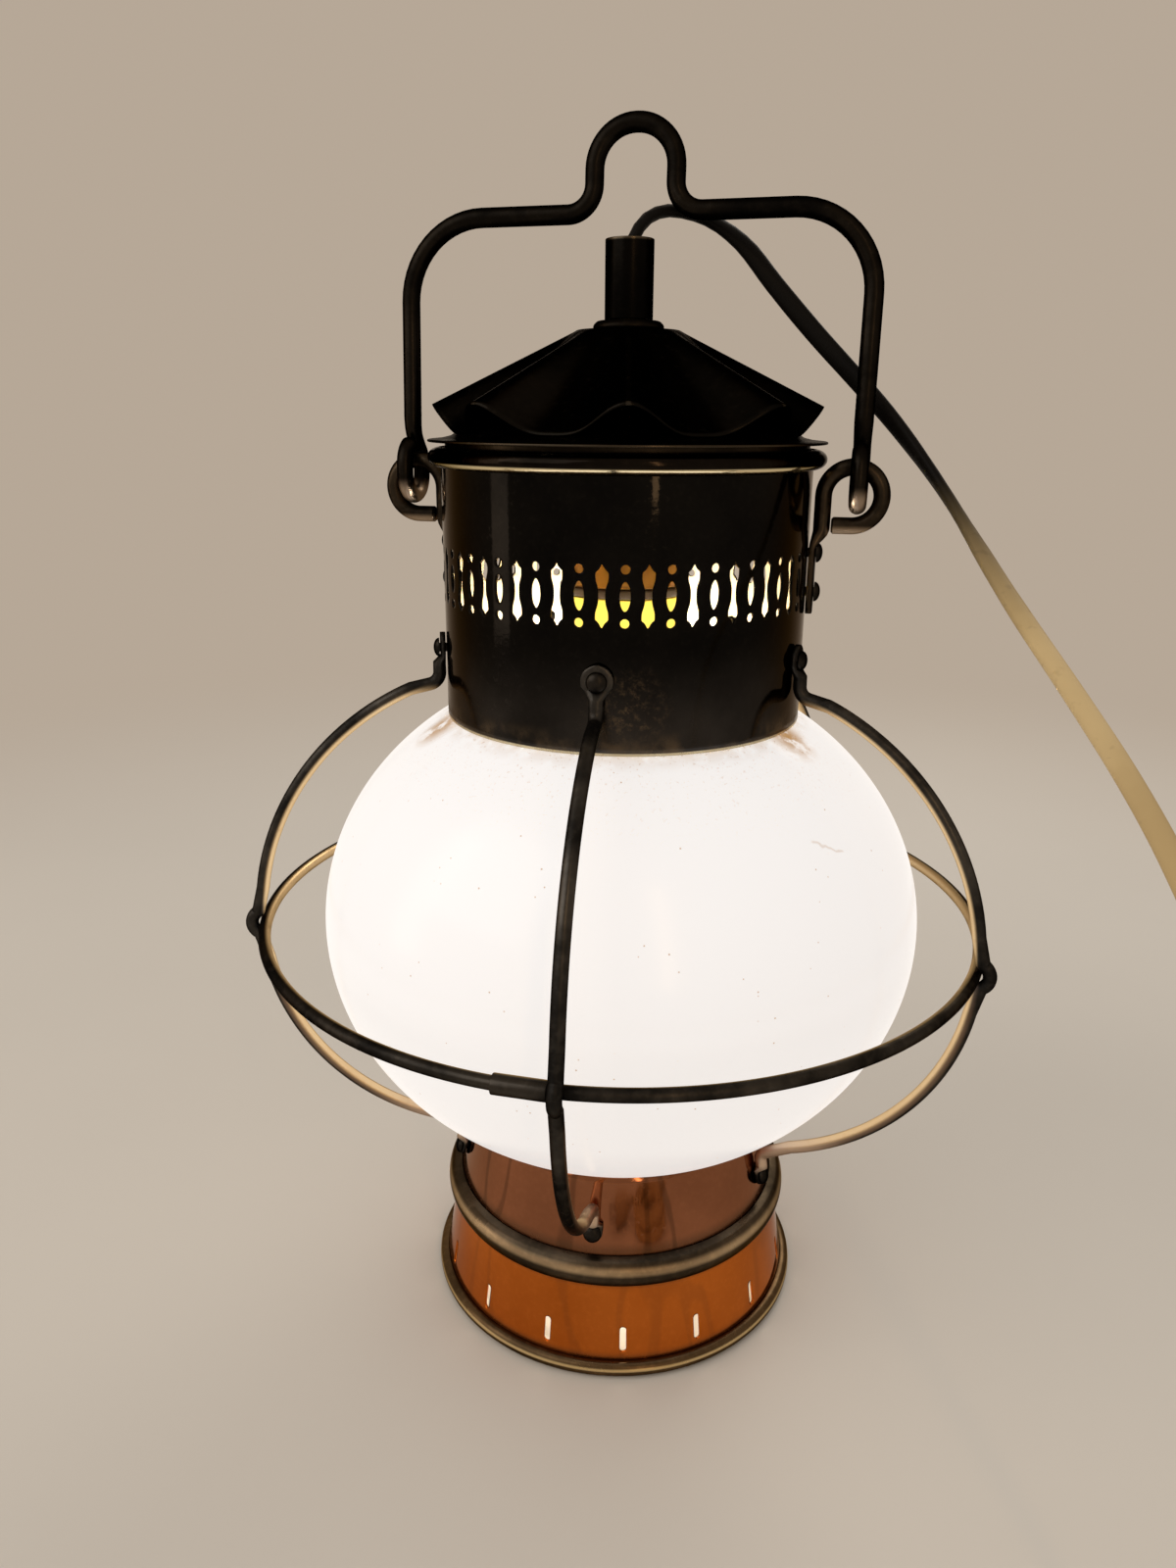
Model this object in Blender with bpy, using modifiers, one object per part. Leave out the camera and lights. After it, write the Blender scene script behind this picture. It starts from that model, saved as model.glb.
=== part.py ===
"""A ship's lamp with an opal globe, a pierced drum, a fluted roof, a wire cage and a swinging bail.

The origin is the centre of the foot, on the table. +Z is up, the bail's two ears lie along X, and -Y is the front.
Lengths are in metres. The bail stands at rest as the cord behind it holds it, leaning back a little.
"""

import math

import bmesh
import bpy
import numpy as np
from mathutils import Matrix, Vector

# Fits and sheet
seat_gap = 0.0003
sheet = 0.0008

# Foot and flared base
foot_reach = 0.0030
foot_roll = 0.0036
base_foot_radius = 0.0634
base_waist_radius = 0.0582
base_top_z = 0.0695
base_bead_z = 0.0370
base_bead_height = 0.0104
base_bead_depth = 0.0039
slot_width = 0.0025
slot_height = 0.0100
slot_z = 0.0125
slot_count = 15
slot_turn = math.radians(15.9)
base_sides = 45

# Globe and its seat
globe_radius = 0.1000
globe_half_height = 0.0848
glass = 0.0026
globe_clearance = 0.0005
lower_mouth = 0.0400
upper_mouth = 0.0440
seat_depth = 0.0045
seat_bore = 0.0360
seat_skirt = 0.0190
globe_sides = 36

# Drum and its pierced band
drum_radius = 0.0570
drum_height = 0.0820
drum_bead_height = 0.0072
drum_bead_depth = 0.0039
band_rise = 0.0450
band_repeats = 28
vase_width = 0.0036
vase_height = 0.0169
oval_width = 0.0030
oval_height = 0.0080
dot_width = 0.0023
dot_rise = 0.0073

# Roof, its push-in collar and the crown
lip_overhang = 0.0038
lip_rise = 0.0019
collar_skirt = 0.0095
collar_inset = 0.0034
collar_rise = 0.0037
roof_sheet = 0.0007
ridge_count = 8
ridge_overhang = 0.0026
valley_inset = 0.0036
ridge_rise = 0.0080
crown_radius = 0.0156
crown_rise = 0.0290
roof_rest_turn = math.radians(12.86)

# Cord tube and lampholder
tube_radius = 0.0072
tube_wall = 0.0010
tube_height = 0.0220
apex_radius = 0.0106
apex_height = 0.0024
nipple_radius = 0.0050
nipple_bore = 0.0036
nipple_top = 0.0085
nut_flats = 0.0140
nut_height = 0.0030
bush_depth = 0.0070
exit_drop = 0.00555
holder_radius = 0.0200
holder_wall = 0.0020
holder_drop = 0.0390
cap_height = 0.0350
ring_height = 0.0028
ring_proud = 0.0006
shell_height = 0.0290
block_height = 0.0026
screw_radius = 0.0146
screw_wall = 0.0005
screw_height = 0.0220
bulb_cap_radius = 0.0137
bulb_cap_height = 0.0230
bulb_radius = 0.0300
bulb_length = 0.0790
bulb_wall = 0.0012

# Ears and bail
ear_rod = 0.0050
ear_loop = 0.0085
ear_drop = 0.0128
ear_stand_off = 0.0010
strap_thickness = 0.0020
strap_width = 0.0086
strap_length = 0.0236
stem_drop = 0.0134
strap_rivet_drop = 0.0053
strap_rivet_pitch = 0.0118
bail_rod = 0.0056
eye_rod = 0.0052
eye_width = 0.0190
eye_play = 0.0004
bail_offset = 0.0016
bail_shoulder = 0.0711
bail_corner = 0.0235
bail_crown = 0.0938
bail_crown_width = 0.0244
bail_crown_foot = 0.0080
bail_lean = math.radians(4)

# Cage
rod_diameter = 0.0042
ring_wire = 0.0040
ring_stand_off = 0.0195
ring_raise = 0.0010
rod_tuck = 0.0002
rod_count = 5
rod_turn = math.radians(5.5)
rod_knee = 0.0085
knee_radius = 0.0040
rod_toe = 0.0652
toe_radius = 0.0030
kink_reach = 0.0080
eye_pad_width = 0.0096
eye_pad_thickness = 0.0017
rod_rivet_rise = 0.0216
foot_pad_width = 0.0065
foot_pad_length = 0.0150
foot_rivet_z = 0.0502
sleeve_wall = 0.0005
sleeve_turn = math.radians(0.9)
sleeve_length = 0.0148

# Rivets
shank_radius = 0.0014
hole_play = 0.0003
rivet_head = 0.0030
rivet_rise = 0.0018
rivet_tail = 0.0022
rivet_tail_rise = 0.0009

# Cord and plug
cord = 0.0058
coil_pitch = 0.0063
coil_outer = 0.0415
coil_turns = 6.25
coil_x = 0.1400
coil_y = -0.2060
route = [
    (0.0000, 0.0000, 0.3486),
    (0.0000, 0.0000, 0.3502),
    (0.0004, 0.0004, 0.3530),
    (0.0018, 0.0020, 0.3568),
    (0.0044, 0.0050, 0.3605),
    (0.0080, 0.0084, 0.3625),
    (0.0117, 0.0108, 0.3628),
    (0.0184, 0.0132, 0.3614),
    (0.0242, 0.0146, 0.3589),
    (0.0317, 0.0157, 0.3534),
    (0.0408, 0.0163, 0.3430),
    (0.0535, 0.0158, 0.3294),
    (0.0684, 0.0132, 0.3146),
    (0.0774, 0.0104, 0.3054),
    (0.0874, 0.0056, 0.2940),
    (0.0959, -0.0004, 0.2833),
    (0.1036, -0.0080, 0.2726),
    (0.1106, -0.0180, 0.2626),
    (0.1173, -0.0310, 0.2536),
    (0.1296, -0.0570, 0.2380),
    (0.1396, -0.0800, 0.2245),
    (0.1471, -0.0990, 0.2122),
    (0.1545, -0.1155, 0.1965),
    (0.1615, -0.1290, 0.1740),
    (0.1675, -0.1395, 0.1460),
    (0.1724, -0.1480, 0.1150),
    (0.1765, -0.1555, 0.0820),
    (0.1796, -0.1625, 0.0500),
    (0.1812, -0.1710, 0.0260),
    (0.1815, -0.1835, 0.0135),
]
route_step = 0.0092
tail_length = 0.0260
plug_length = 0.0350
plug_front = 0.0260
plug_back = 0.0140
plug_thickness = 0.0136
plug_bevel = 0.0020
relief_length = 0.0140
relief_radius = 0.0048
relief_tip_radius = 0.0038
pin_radius = 0.0020
pin_length = 0.0190
pin_pitch = 0.0186
plug_joint = 0.0020

# Shapes drawn as shares of their own width and height, from the centre to the top
vase_shares = [(0.50, 0.00), (1.00, 0.62)]
bulb_shares = [(0.43, 0.00), (0.50, 0.14), (0.80, 0.36), (1.00, 0.62), (0.86, 0.84), (0.50, 0.96)]
holder_cap_shares = [(0.40, 1.00), (0.82, 0.78), (1.00, 0.00)]

small_sides = 16
hidden_sides = 12
holder_sides = 20
collar_sides = 32
ring_sides = 48
rivet_sides = 8
overrun = 0.0040
flat_angle = math.radians(0.5)

# Heights and radii that follow from the sizes above
foot_radius = base_foot_radius + foot_reach
roll_radius = foot_roll / 2
gutter_angle = math.radians(125)
gutter_z = roll_radius + roll_radius * math.sin(gutter_angle)
base_bottom_z = gutter_z + seat_gap
seat_floor_z = base_top_z - seat_depth
lower_share = lower_mouth / globe_radius
globe_z = seat_floor_z + seat_gap + globe_half_height * math.sqrt(1 - lower_share**2)


def globe_width(z):
    """Radius of the globe's outside at a height."""
    return globe_radius * math.sqrt(1 - ((z - globe_z) / globe_half_height) ** 2)


base_top_radius = globe_width(base_top_z) + globe_clearance + sheet
base_slope = (base_waist_radius - base_top_radius) / (base_top_z - base_bead_z)
cone_angle = math.atan(base_slope)
foot_slope = (base_foot_radius - base_waist_radius) / (base_bead_z - base_bottom_z)


def base_width(z):
    """Outside radius of the flared base at a height: two straight flares that meet at the bead."""
    slope = base_slope if z > base_bead_z else foot_slope
    return base_waist_radius - slope * (z - base_bead_z)


drum_inside = drum_radius - sheet
drum_share = (drum_inside - globe_clearance) / globe_radius
drum_bottom_z = globe_z + globe_half_height * math.sqrt(1 - drum_share**2)
drum_top_z = drum_bottom_z + drum_height
drum_bead_z = drum_top_z - drum_bead_height / 2 + sheet / 2
band_z = drum_bottom_z + band_rise
lip_radius = drum_radius + lip_overhang
lip_z = drum_bead_z + drum_bead_height / 2 + seat_gap
collar_neck = drum_radius - collar_inset
ridge_radius = drum_radius + ridge_overhang
valley_radius = drum_radius - valley_inset
collar_top_z = drum_top_z + collar_rise
valley_z = collar_top_z + seat_gap + roof_sheet
ridge_z = valley_z + ridge_rise
crown_z = valley_z + crown_rise
apex_z = crown_z + seat_gap
tube_z = apex_z + apex_height + seat_gap
tube_top_z = tube_z + tube_height
exit_z = tube_top_z - exit_drop
route_stretch = exit_z / route[0][2]
cap_top_z = crown_z - holder_drop
cap_z = cap_top_z - cap_height
ring_z = cap_z - seat_gap - ring_height
shell_top_z = ring_z - seat_gap
shell_z = shell_top_z - shell_height
ear_x = drum_radius + ear_stand_off + ear_rod / 2 + ear_loop
ear_z = drum_top_z - ear_drop
bail_x = ear_x + bail_offset
pivot_z = ear_z + math.sqrt(ear_loop**2 - bail_offset**2)
strap_top_z = ear_z - stem_drop + strap_thickness
stem_z = ear_z - stem_drop
strap_rivet_z = strap_top_z - strap_rivet_drop
cage_radius = globe_radius + ring_stand_off
cage_z = globe_z + ring_raise
rod_arc = globe_half_height - rod_tuck
rod_rivet_z = drum_bottom_z + rod_rivet_rise
coil_low_z = cord / 2 + seat_gap / 2
coil_high_z = coil_low_z + coil_pitch

# Start from an empty scene, with one collection for the lamp and one for its cutters
for thing in list(bpy.data.objects):
    bpy.data.objects.remove(thing, do_unlink=True)
lamp = bpy.data.collections.new("ship_lamp")
cutters = bpy.data.collections.new("cutters")
bpy.context.scene.collection.children.link(lamp)
bpy.context.scene.collection.children.link(cutters)


def finish(name, colour, metallic, roughness, transmission=0.0):
    """A plain Principled material for one kind of surface."""
    material = bpy.data.materials.new(name)
    material.use_nodes = True
    shader = material.node_tree.nodes["Principled BSDF"]
    shader.inputs["Base Color"].default_value = (*colour, 1.0)
    shader.inputs["Metallic"].default_value = metallic
    shader.inputs["Roughness"].default_value = roughness
    shader.inputs["Transmission Weight"].default_value = transmission
    return material


polished_brass = finish("polished_brass", (0.55, 0.33, 0.13), 1.0, 0.22)
drum_brass = finish("drum_brass", (0.34, 0.24, 0.13), 1.0, 0.30)
roof_brass = finish("roof_brass", (0.28, 0.20, 0.12), 1.0, 0.34)
aged_brass = finish("aged_brass", (0.24, 0.19, 0.12), 1.0, 0.42)
cage_brass = finish("cage_brass", (0.20, 0.16, 0.12), 1.0, 0.40)
bail_brass = finish("bail_brass", (0.15, 0.12, 0.10), 1.0, 0.42)
opal_glass = finish("opal_glass", (0.96, 0.94, 0.90), 0.0, 0.18)
bulb_opal = finish("bulb_opal", (0.95, 0.93, 0.88), 0.0, 0.25)
holder_cream = finish("holder_cream", (0.85, 0.70, 0.35), 0.0, 0.45)
holder_brown = finish("holder_brown", (0.20, 0.09, 0.04), 0.0, 0.35)
porcelain = finish("porcelain", (0.85, 0.83, 0.78), 0.0, 0.30)
nickel = finish("nickel", (0.62, 0.60, 0.56), 1.0, 0.30)
bush_black = finish("bush_black", (0.03, 0.03, 0.03), 0.0, 0.55)
cord_gold = finish("cord_gold", (0.48, 0.38, 0.20), 0.0, 0.50)


def adopt(thing, name, material, collection=lamp):
    """Names an object, gives it its material and puts it in its collection."""
    thing.name = name
    thing.data.name = name
    for home in list(thing.users_collection):
        home.objects.unlink(thing)
    collection.objects.link(thing)
    if material and not thing.data.materials:
        thing.data.materials.append(material)
    return thing


def smooth(thing, angle=40):
    """Shades round faces smooth and keeps the edges that are sharper than the angle."""
    thing.data.shade_smooth()
    thing.data.set_sharp_from_angle(angle=math.radians(angle))
    return thing


def turned(name, profile, material, sides, closed=True):
    """A turned piece: its profile, given down the outside and back up the inside, with a Screw about Z."""
    mesh = bpy.data.meshes.new(name)
    edges = [(i, i + 1) for i in range(len(profile) - 1)]
    if closed:
        edges.append((len(profile) - 1, 0))
    mesh.from_pydata([(r, 0.0, z) for r, z in profile], edges, [])
    piece = adopt(bpy.data.objects.new(name, mesh), name, material)
    screw = piece.modifiers.new("turn", "SCREW")
    screw.steps = sides
    screw.render_steps = sides
    screw.use_merge_vertices = True
    screw.merge_threshold = 1e-6
    screw.use_smooth_shade = True
    return piece


def evaluated_mesh(thing, name):
    """The mesh that an object's modifiers or bevel make, with its caps welded on."""
    bpy.context.view_layer.update()
    graph = bpy.context.evaluated_depsgraph_get()
    mesh = bpy.data.meshes.new_from_object(thing.evaluated_get(graph))
    mesh.name = name
    shape = bmesh.new()
    shape.from_mesh(mesh)
    bmesh.ops.remove_doubles(shape, verts=shape.verts, dist=1e-6)
    shape.to_mesh(mesh)
    shape.free()
    return mesh


def as_mesh(thing, collection=cutters):
    """Turns a curve, or an object with modifiers, into a plain mesh object in its place."""
    name = thing.name
    copy = bpy.data.objects.new(name, evaluated_mesh(thing, name))
    copy.matrix_world = thing.matrix_world.copy()
    bpy.data.objects.remove(thing, do_unlink=True)
    return adopt(copy, name, None, collection)


def wire(name, points, radius, material, rings=2, closed=False):
    """A wire or tube along a chain of points, as a bevelled curve with filled caps."""
    curve = bpy.data.curves.new(name, "CURVE")
    curve.dimensions = "3D"
    curve.bevel_depth = radius
    curve.bevel_resolution = rings
    curve.use_fill_caps = True
    spline = curve.splines.new("POLY")
    spline.points.add(len(points) - 1)
    for knot, point in zip(spline.points, points):
        knot.co = (*point, 1.0)
    spline.use_cyclic_u = closed
    return adopt(bpy.data.objects.new(name, curve), name, material)


def plate(name, outline, thickness, material=None, holes=()):
    """A flat plate lying in XY: a filled 2D curve, extruded by half its thickness each way."""
    curve = bpy.data.curves.new(name, "CURVE")
    curve.dimensions = "2D"
    curve.fill_mode = "BOTH"
    curve.extrude = thickness / 2
    for chain in (outline, *holes):
        spline = curve.splines.new("POLY")
        spline.points.add(len(chain) - 1)
        for knot, (x, y) in zip(spline.points, chain):
            knot.co = (x, y, 0.0, 1.0)
        spline.use_cyclic_u = True
    return as_mesh(adopt(bpy.data.objects.new(name, curve), name, material))


def helper(thing):
    """Keeps a cutter or a joined shape out of the finished lamp."""
    thing.hide_render = True
    thing.display_type = "WIRE"
    return thing


def boolean(thing, operation, other):
    """Adds one exact Boolean."""
    modifier = thing.modifiers.new(operation.lower(), "BOOLEAN")
    modifier.operation = operation
    modifier.solver = "EXACT"
    modifier.object = helper(other)
    return thing


def clear_flats(thing):
    """Takes out the stray points that the cuts leave in flat faces and straight edges."""
    modifier = thing.modifiers.new("flats", "DECIMATE")
    modifier.decimate_type = "DISSOLVE"
    modifier.angle_limit = flat_angle
    return thing


def joined_mesh(name, shapes, holes=()):
    """One mesh from overlapping shapes, with the holes cut out."""
    body = shapes[0]
    for other in shapes[1:]:
        boolean(body, "UNION", other)
    for cutter in holes:
        boolean(body, "DIFFERENCE", cutter)
    clear_flats(body)
    mesh = evaluated_mesh(body, name)
    for thing in [*shapes, *holes]:
        bpy.data.objects.remove(thing, do_unlink=True)
    return mesh


def merged(name, parts):
    """One helper shape from a list of (mesh, matrix) pairs, which stand apart or share whole edges."""
    shape = bmesh.new()
    for mesh, matrix in parts:
        before = len(shape.verts)
        shape.from_mesh(mesh)
        shape.verts.ensure_lookup_table()
        bmesh.ops.transform(shape, matrix=matrix, verts=shape.verts[before:])
    bmesh.ops.remove_doubles(shape, verts=shape.verts, dist=1e-6)
    bmesh.ops.recalc_face_normals(shape, faces=shape.faces)
    mesh = bpy.data.meshes.new(name)
    shape.to_mesh(mesh)
    shape.free()
    return adopt(helper(bpy.data.objects.new(name, mesh)), name, None, cutters)


def cylinder(name, radius, length, sides):
    """A cylinder along Z, centred on its own origin, for drilling."""
    bpy.ops.mesh.primitive_cylinder_add(vertices=sides, radius=radius, depth=length)
    return adopt(bpy.context.object, name, None, cutters)


def arc(centre, radius, start, end, steps, squash=1.0):
    """Points on an arc in a plane, from one angle to another, with the second axis scaled by squash."""
    angles = np.linspace(start, end, steps + 1)
    across = centre[0] + radius * np.cos(angles)
    up = centre[1] + radius * squash * np.sin(angles)
    return list(zip(across.tolist(), up.tolist()))


def rounded(points, radii, steps):
    """A chain of straight runs with each inner corner turned into an arc of its own radius."""
    chain = [Vector(p) for p in points]
    result = [chain[0]]
    for before, corner, after, radius in zip(chain, chain[1:], chain[2:], radii):
        back = (before - corner).normalized()
        ahead = (after - corner).normalized()
        half = back.angle(ahead) / 2
        centre = corner + (back + ahead).normalized() * radius / math.sin(half)
        first = corner + back * radius / math.tan(half) - centre
        last = corner + ahead * radius / math.tan(half) - centre
        turn = first.angle(last)
        for share in np.linspace(0, 1, steps + 1):
            weight_a = math.sin((1 - share) * turn) / math.sin(turn)
            weight_b = math.sin(share * turn) / math.sin(turn)
            result.append(centre + first * weight_a + last * weight_b)
    result.append(chain[-1])
    return [tuple(p) for p in result]


def facing(angle, radius, z, tilt=0.0):
    """Places a piece whose own +Z is its outward axis on the lamp's side, at an angle counted from the front."""
    out = Matrix.Rotation(angle, 4, "Z") @ Matrix.Translation((0.0, -radius, z))
    return out @ Matrix.Rotation(math.radians(90) - tilt, 4, "X")


# Foot: a brass wire rolled into the edge, with a gutter inside it
roll_centre = (foot_radius - roll_radius, roll_radius)
foot_inside = base_foot_radius - sheet
foot_profile = arc(roll_centre, roll_radius, gutter_angle, math.radians(-90), 4)
foot_profile += [(foot_inside, 0.0), (foot_inside, gutter_z)]
foot_ring = turned("foot_ring", foot_profile, polished_brass, base_sides)
foot_ring.rotation_euler.z = slot_turn

# Base: a spun sheet that flares to the foot, with draught slots and five rivet holes
base_outside = [(base_top_radius, base_top_z), (base_waist_radius, base_bead_z), (base_foot_radius, base_bottom_z)]
base_profile = base_outside + [(r - sheet, z) for r, z in reversed(base_outside)]
base_shell = turned("base_shell", base_profile, polished_brass, base_sides)
base_shell.rotation_euler.z = slot_turn

slot_end = slot_width / 2
slot_run = slot_height / 2 - slot_end
slot_outline = arc((0.0, slot_run), slot_end, 0.0, math.pi, 2)
slot_outline += arc((0.0, -slot_run), slot_end, math.pi, math.tau, 2)
slot_radius = base_width(slot_z)
slot = plate("slot", slot_outline, 2 * overrun)
slots = [
    (slot.data, facing(slot_turn + i * math.tau / slot_count, slot_radius, slot_z, math.atan(foot_slope)))
    for i in range(slot_count)
]
boolean(base_shell, "DIFFERENCE", merged("base_slots", slots))
bpy.data.objects.remove(slot, do_unlink=True)

rod_angles = [rod_turn + i * math.tau / rod_count for i in range(rod_count)]
foot_hole = cylinder("foot_hole", shank_radius + hole_play, 4 * overrun, rivet_sides)
foot_rivet_radius = base_width(foot_rivet_z)
foot_holes = merged(
    "foot_holes",
    [(foot_hole.data, facing(angle, foot_rivet_radius, foot_rivet_z, cone_angle)) for angle in rod_angles],
)
boolean(base_shell, "DIFFERENCE", foot_holes)

# Bead round the base: a half-round brass strip over the bend in the flare
bead_half = base_bead_height / 2
bead_inside = [
    (base_width(z) + seat_gap, z) for z in (base_bead_z - bead_half, base_bead_z, base_bead_z + bead_half)
]
bead_bow = arc(
    (base_waist_radius, base_bead_z), base_bead_depth, math.radians(65), math.radians(-55), 3,
    bead_half / base_bead_depth,
)
base_bead = turned("base_bead", bead_bow + bead_inside, aged_brass, base_sides)
base_bead.rotation_euler.z = slot_turn

# Globe seat: a dished ring inside the base, riveted through with the cage's feet
seat_top_radius = base_width(seat_floor_z) - sheet - 2 * seat_gap
seat_low_z = seat_floor_z - seat_skirt
seat_low_radius = base_width(seat_low_z) - sheet - 2 * seat_gap
seat_profile = [
    (seat_top_radius, seat_floor_z),
    (seat_low_radius, seat_low_z),
    (seat_low_radius - sheet, seat_low_z),
    (seat_top_radius - sheet, seat_floor_z - sheet),
    (seat_bore, seat_floor_z - sheet),
    (seat_bore, seat_floor_z),
]
globe_seat = turned("globe_seat", seat_profile, aged_brass, base_sides)
globe_seat.rotation_euler.z = slot_turn
boolean(globe_seat, "DIFFERENCE", foot_holes)

# Globe: blown opal glass, a flattened ball with a mouth at each end
top_angle = math.asin(upper_mouth / globe_radius)
low_angle = math.pi - math.asin(lower_mouth / globe_radius)
upper_angles = np.linspace(top_angle, math.pi / 2, 5)
lower_angles = np.linspace(math.pi / 2, low_angle, 5)
globe_angles = [*upper_angles, *lower_angles[1:]]
inner_angles = np.linspace(low_angle, top_angle, 7)
inner_radius = globe_radius - glass
inner_half_height = globe_half_height - glass
globe_profile = [
    (globe_radius * math.sin(a), globe_z + globe_half_height * math.cos(a)) for a in globe_angles
]
globe_profile += [
    (inner_radius * math.sin(a), globe_z + inner_half_height * math.cos(a)) for a in inner_angles
]
turned("glass_globe", globe_profile, opal_glass, globe_sides)

# Drum: a rolled sheet with one flat for each column of the pierced band
column_count = 2 * band_repeats
column_step = math.tau / column_count
flat_radius = drum_radius * math.cos(column_step / 2)
flat_half = drum_radius * math.sin(column_step / 2)


def mirrored_outline(quarter, half_width, half_height):
    """A closed outline from the shares of its upper right quarter, with a point at its top and its foot."""
    right = [(x * half_width, y * half_height) for x, y in quarter]
    upper = right + [(0.0, half_height)] + [(-x, y) for x, y in reversed(right)]
    lower = [(-x, -y) for x, y in right[1:]] + [(0.0, -half_height)] + [(x, -y) for x, y in reversed(right[1:])]
    return upper + lower


def oval_outline(width, height, steps):
    """An oval with a point at each side."""
    return arc((0.0, 0.0), width / 2, 0.0, math.tau, steps, height / width)[:-1]


def raised(outline, rise):
    """An outline moved up its flat."""
    return [(x, y + rise) for x, y in outline]


def pierced_flat(name, holes):
    """One flat of the drum, pierced, with its upright edges left open and mitred to meet its neighbours."""
    low, high = drum_bottom_z - band_z, drum_top_z - band_z
    border = [(-flat_half, low), (flat_half, low), (flat_half, high), (-flat_half, high)]
    flat = plate(name, border, sheet, holes=holes)
    shape = bmesh.new()
    shape.from_mesh(flat.data)
    right = {point for point in shape.verts if point.co.x > flat_half - seat_gap}
    left = {point for point in shape.verts if point.co.x < seat_gap - flat_half}
    closing = [face for face in shape.faces if right.issuperset(face.verts) or left.issuperset(face.verts)]
    bmesh.ops.delete(shape, geom=closing, context="FACES_ONLY")
    for point in right | left:
        point.co.x *= (flat_radius - sheet / 2 + point.co.z) / flat_radius
    shape.to_mesh(flat.data)
    shape.free()
    return flat


vase = mirrored_outline(vase_shares, vase_width / 2, vase_height / 2)
oval = oval_outline(oval_width, oval_height, 6)
dot = oval_outline(dot_width, dot_width, 4)
flats = {
    "vase": pierced_flat("vase_flat", [vase]),
    "oval": pierced_flat("oval_flat", [oval, raised(dot, dot_rise), raised(dot, -dot_rise)]),
    "plain": pierced_flat("plain_flat", []),
}
panels = []
for column in range(column_count):
    angle = column * column_step
    kind = "vase" if column % 2 else "oval"
    if abs(math.remainder(angle - math.pi / 2, math.pi)) < column_step / 2:
        kind = "plain"
    panels.append((flats[kind].data, facing(angle, flat_radius - sheet / 2, band_z)))
drum = merged("drum", panels)
drum.hide_render = False
drum.display_type = "TEXTURED"
adopt(drum, "drum", drum_brass)
for flat in flats.values():
    bpy.data.objects.remove(flat, do_unlink=True)

drum_hole = cylinder("drum_hole", shank_radius + hole_play, 4 * overrun, rivet_sides)
strap_rivet_heights = [strap_rivet_z, strap_rivet_z - strap_rivet_pitch]
ear_angles = [math.pi / 2, -math.pi / 2]
rivet_places = [(angle, rod_rivet_z) for angle in rod_angles]
rivet_places += [(angle, z) for angle in ear_angles for z in strap_rivet_heights]
drum_holes = merged("drum_holes", [(drum_hole.data, facing(a, drum_radius, z)) for a, z in rivet_places])
boolean(drum, "DIFFERENCE", drum_holes)

# Bead round the drum's top: half-round brass under the roof's lip
drum_bead_bow = arc(
    (drum_radius, drum_bead_z), drum_bead_depth, math.radians(70), math.radians(-70), 3,
    drum_bead_height / 2 / drum_bead_depth,
)
bead_back = drum_radius + seat_gap
drum_bead_profile = drum_bead_bow + [
    (bead_back, drum_bead_z - drum_bead_height / 2),
    (bead_back, drum_bead_z + drum_bead_height / 2),
]
drum_bead = turned("drum_bead", drum_bead_profile, aged_brass, column_count)
drum_bead.rotation_euler.z = column_step / 2

# Roof collar: pushed into the drum, with a lip that lies over the bead
collar_outside = drum_inside - 2 * seat_gap
collar_low_z = drum_top_z - collar_skirt
collar_profile = [
    (collar_neck, collar_top_z),
    (lip_radius, lip_z + lip_rise),
    (lip_radius, lip_z + lip_rise - sheet),
    (collar_outside, lip_z + lip_rise),
    (collar_outside, collar_low_z),
    (collar_outside - sheet, collar_low_z),
    (collar_outside - sheet, lip_z + lip_rise),
    (collar_neck - sheet, collar_top_z - sheet),
]
roof_collar = turned("roof_collar", collar_profile, aged_brass, collar_sides)

# Roof: a sheet pressed into eight flutes, which run from a flat crown to a scalloped edge
flute_steps = 6 * ridge_count
radial_shares = np.array([0.0, 0.5, 1.0])
around = np.linspace(0.0, math.tau, flute_steps, endpoint=False)
ridge_share = 0.5 + 0.5 * np.cos(ridge_count * around)
edge_radius = valley_radius + (ridge_radius - valley_radius) * ridge_share
edge_z = valley_z + (ridge_z - valley_z) * ridge_share
hole_radius = nipple_radius + seat_gap
radius_rows = [np.full(flute_steps, hole_radius)]
height_rows = [np.full(flute_steps, crown_z)]
for share in radial_shares:
    radius_rows.append(crown_radius + share * (edge_radius - crown_radius))
    height_rows.append(crown_z + share * (edge_z - crown_z))
radii = np.stack(radius_rows)
heights = np.stack(height_rows)
front_angle = around - math.pi / 2
roof_points = np.stack([radii * np.cos(front_angle), radii * np.sin(front_angle), heights], axis=-1)
roof_faces = []
for row in range(len(radii) - 1):
    for step in range(flute_steps):
        ahead = (step + 1) % flute_steps
        first = row * flute_steps
        second = first + flute_steps
        roof_faces.append((first + step, second + step, second + ahead, first + ahead))
roof_mesh = bpy.data.meshes.new("roof")
roof_mesh.from_pydata(roof_points.reshape(-1, 3).tolist(), [], roof_faces)
roof = smooth(adopt(bpy.data.objects.new("roof", roof_mesh), "roof", roof_brass), 30)
roof_wall = roof.modifiers.new("sheet", "SOLIDIFY")
roof_wall.thickness = roof_sheet
roof_wall.offset = -1.0
roof.rotation_euler.z = roof_rest_turn

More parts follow.
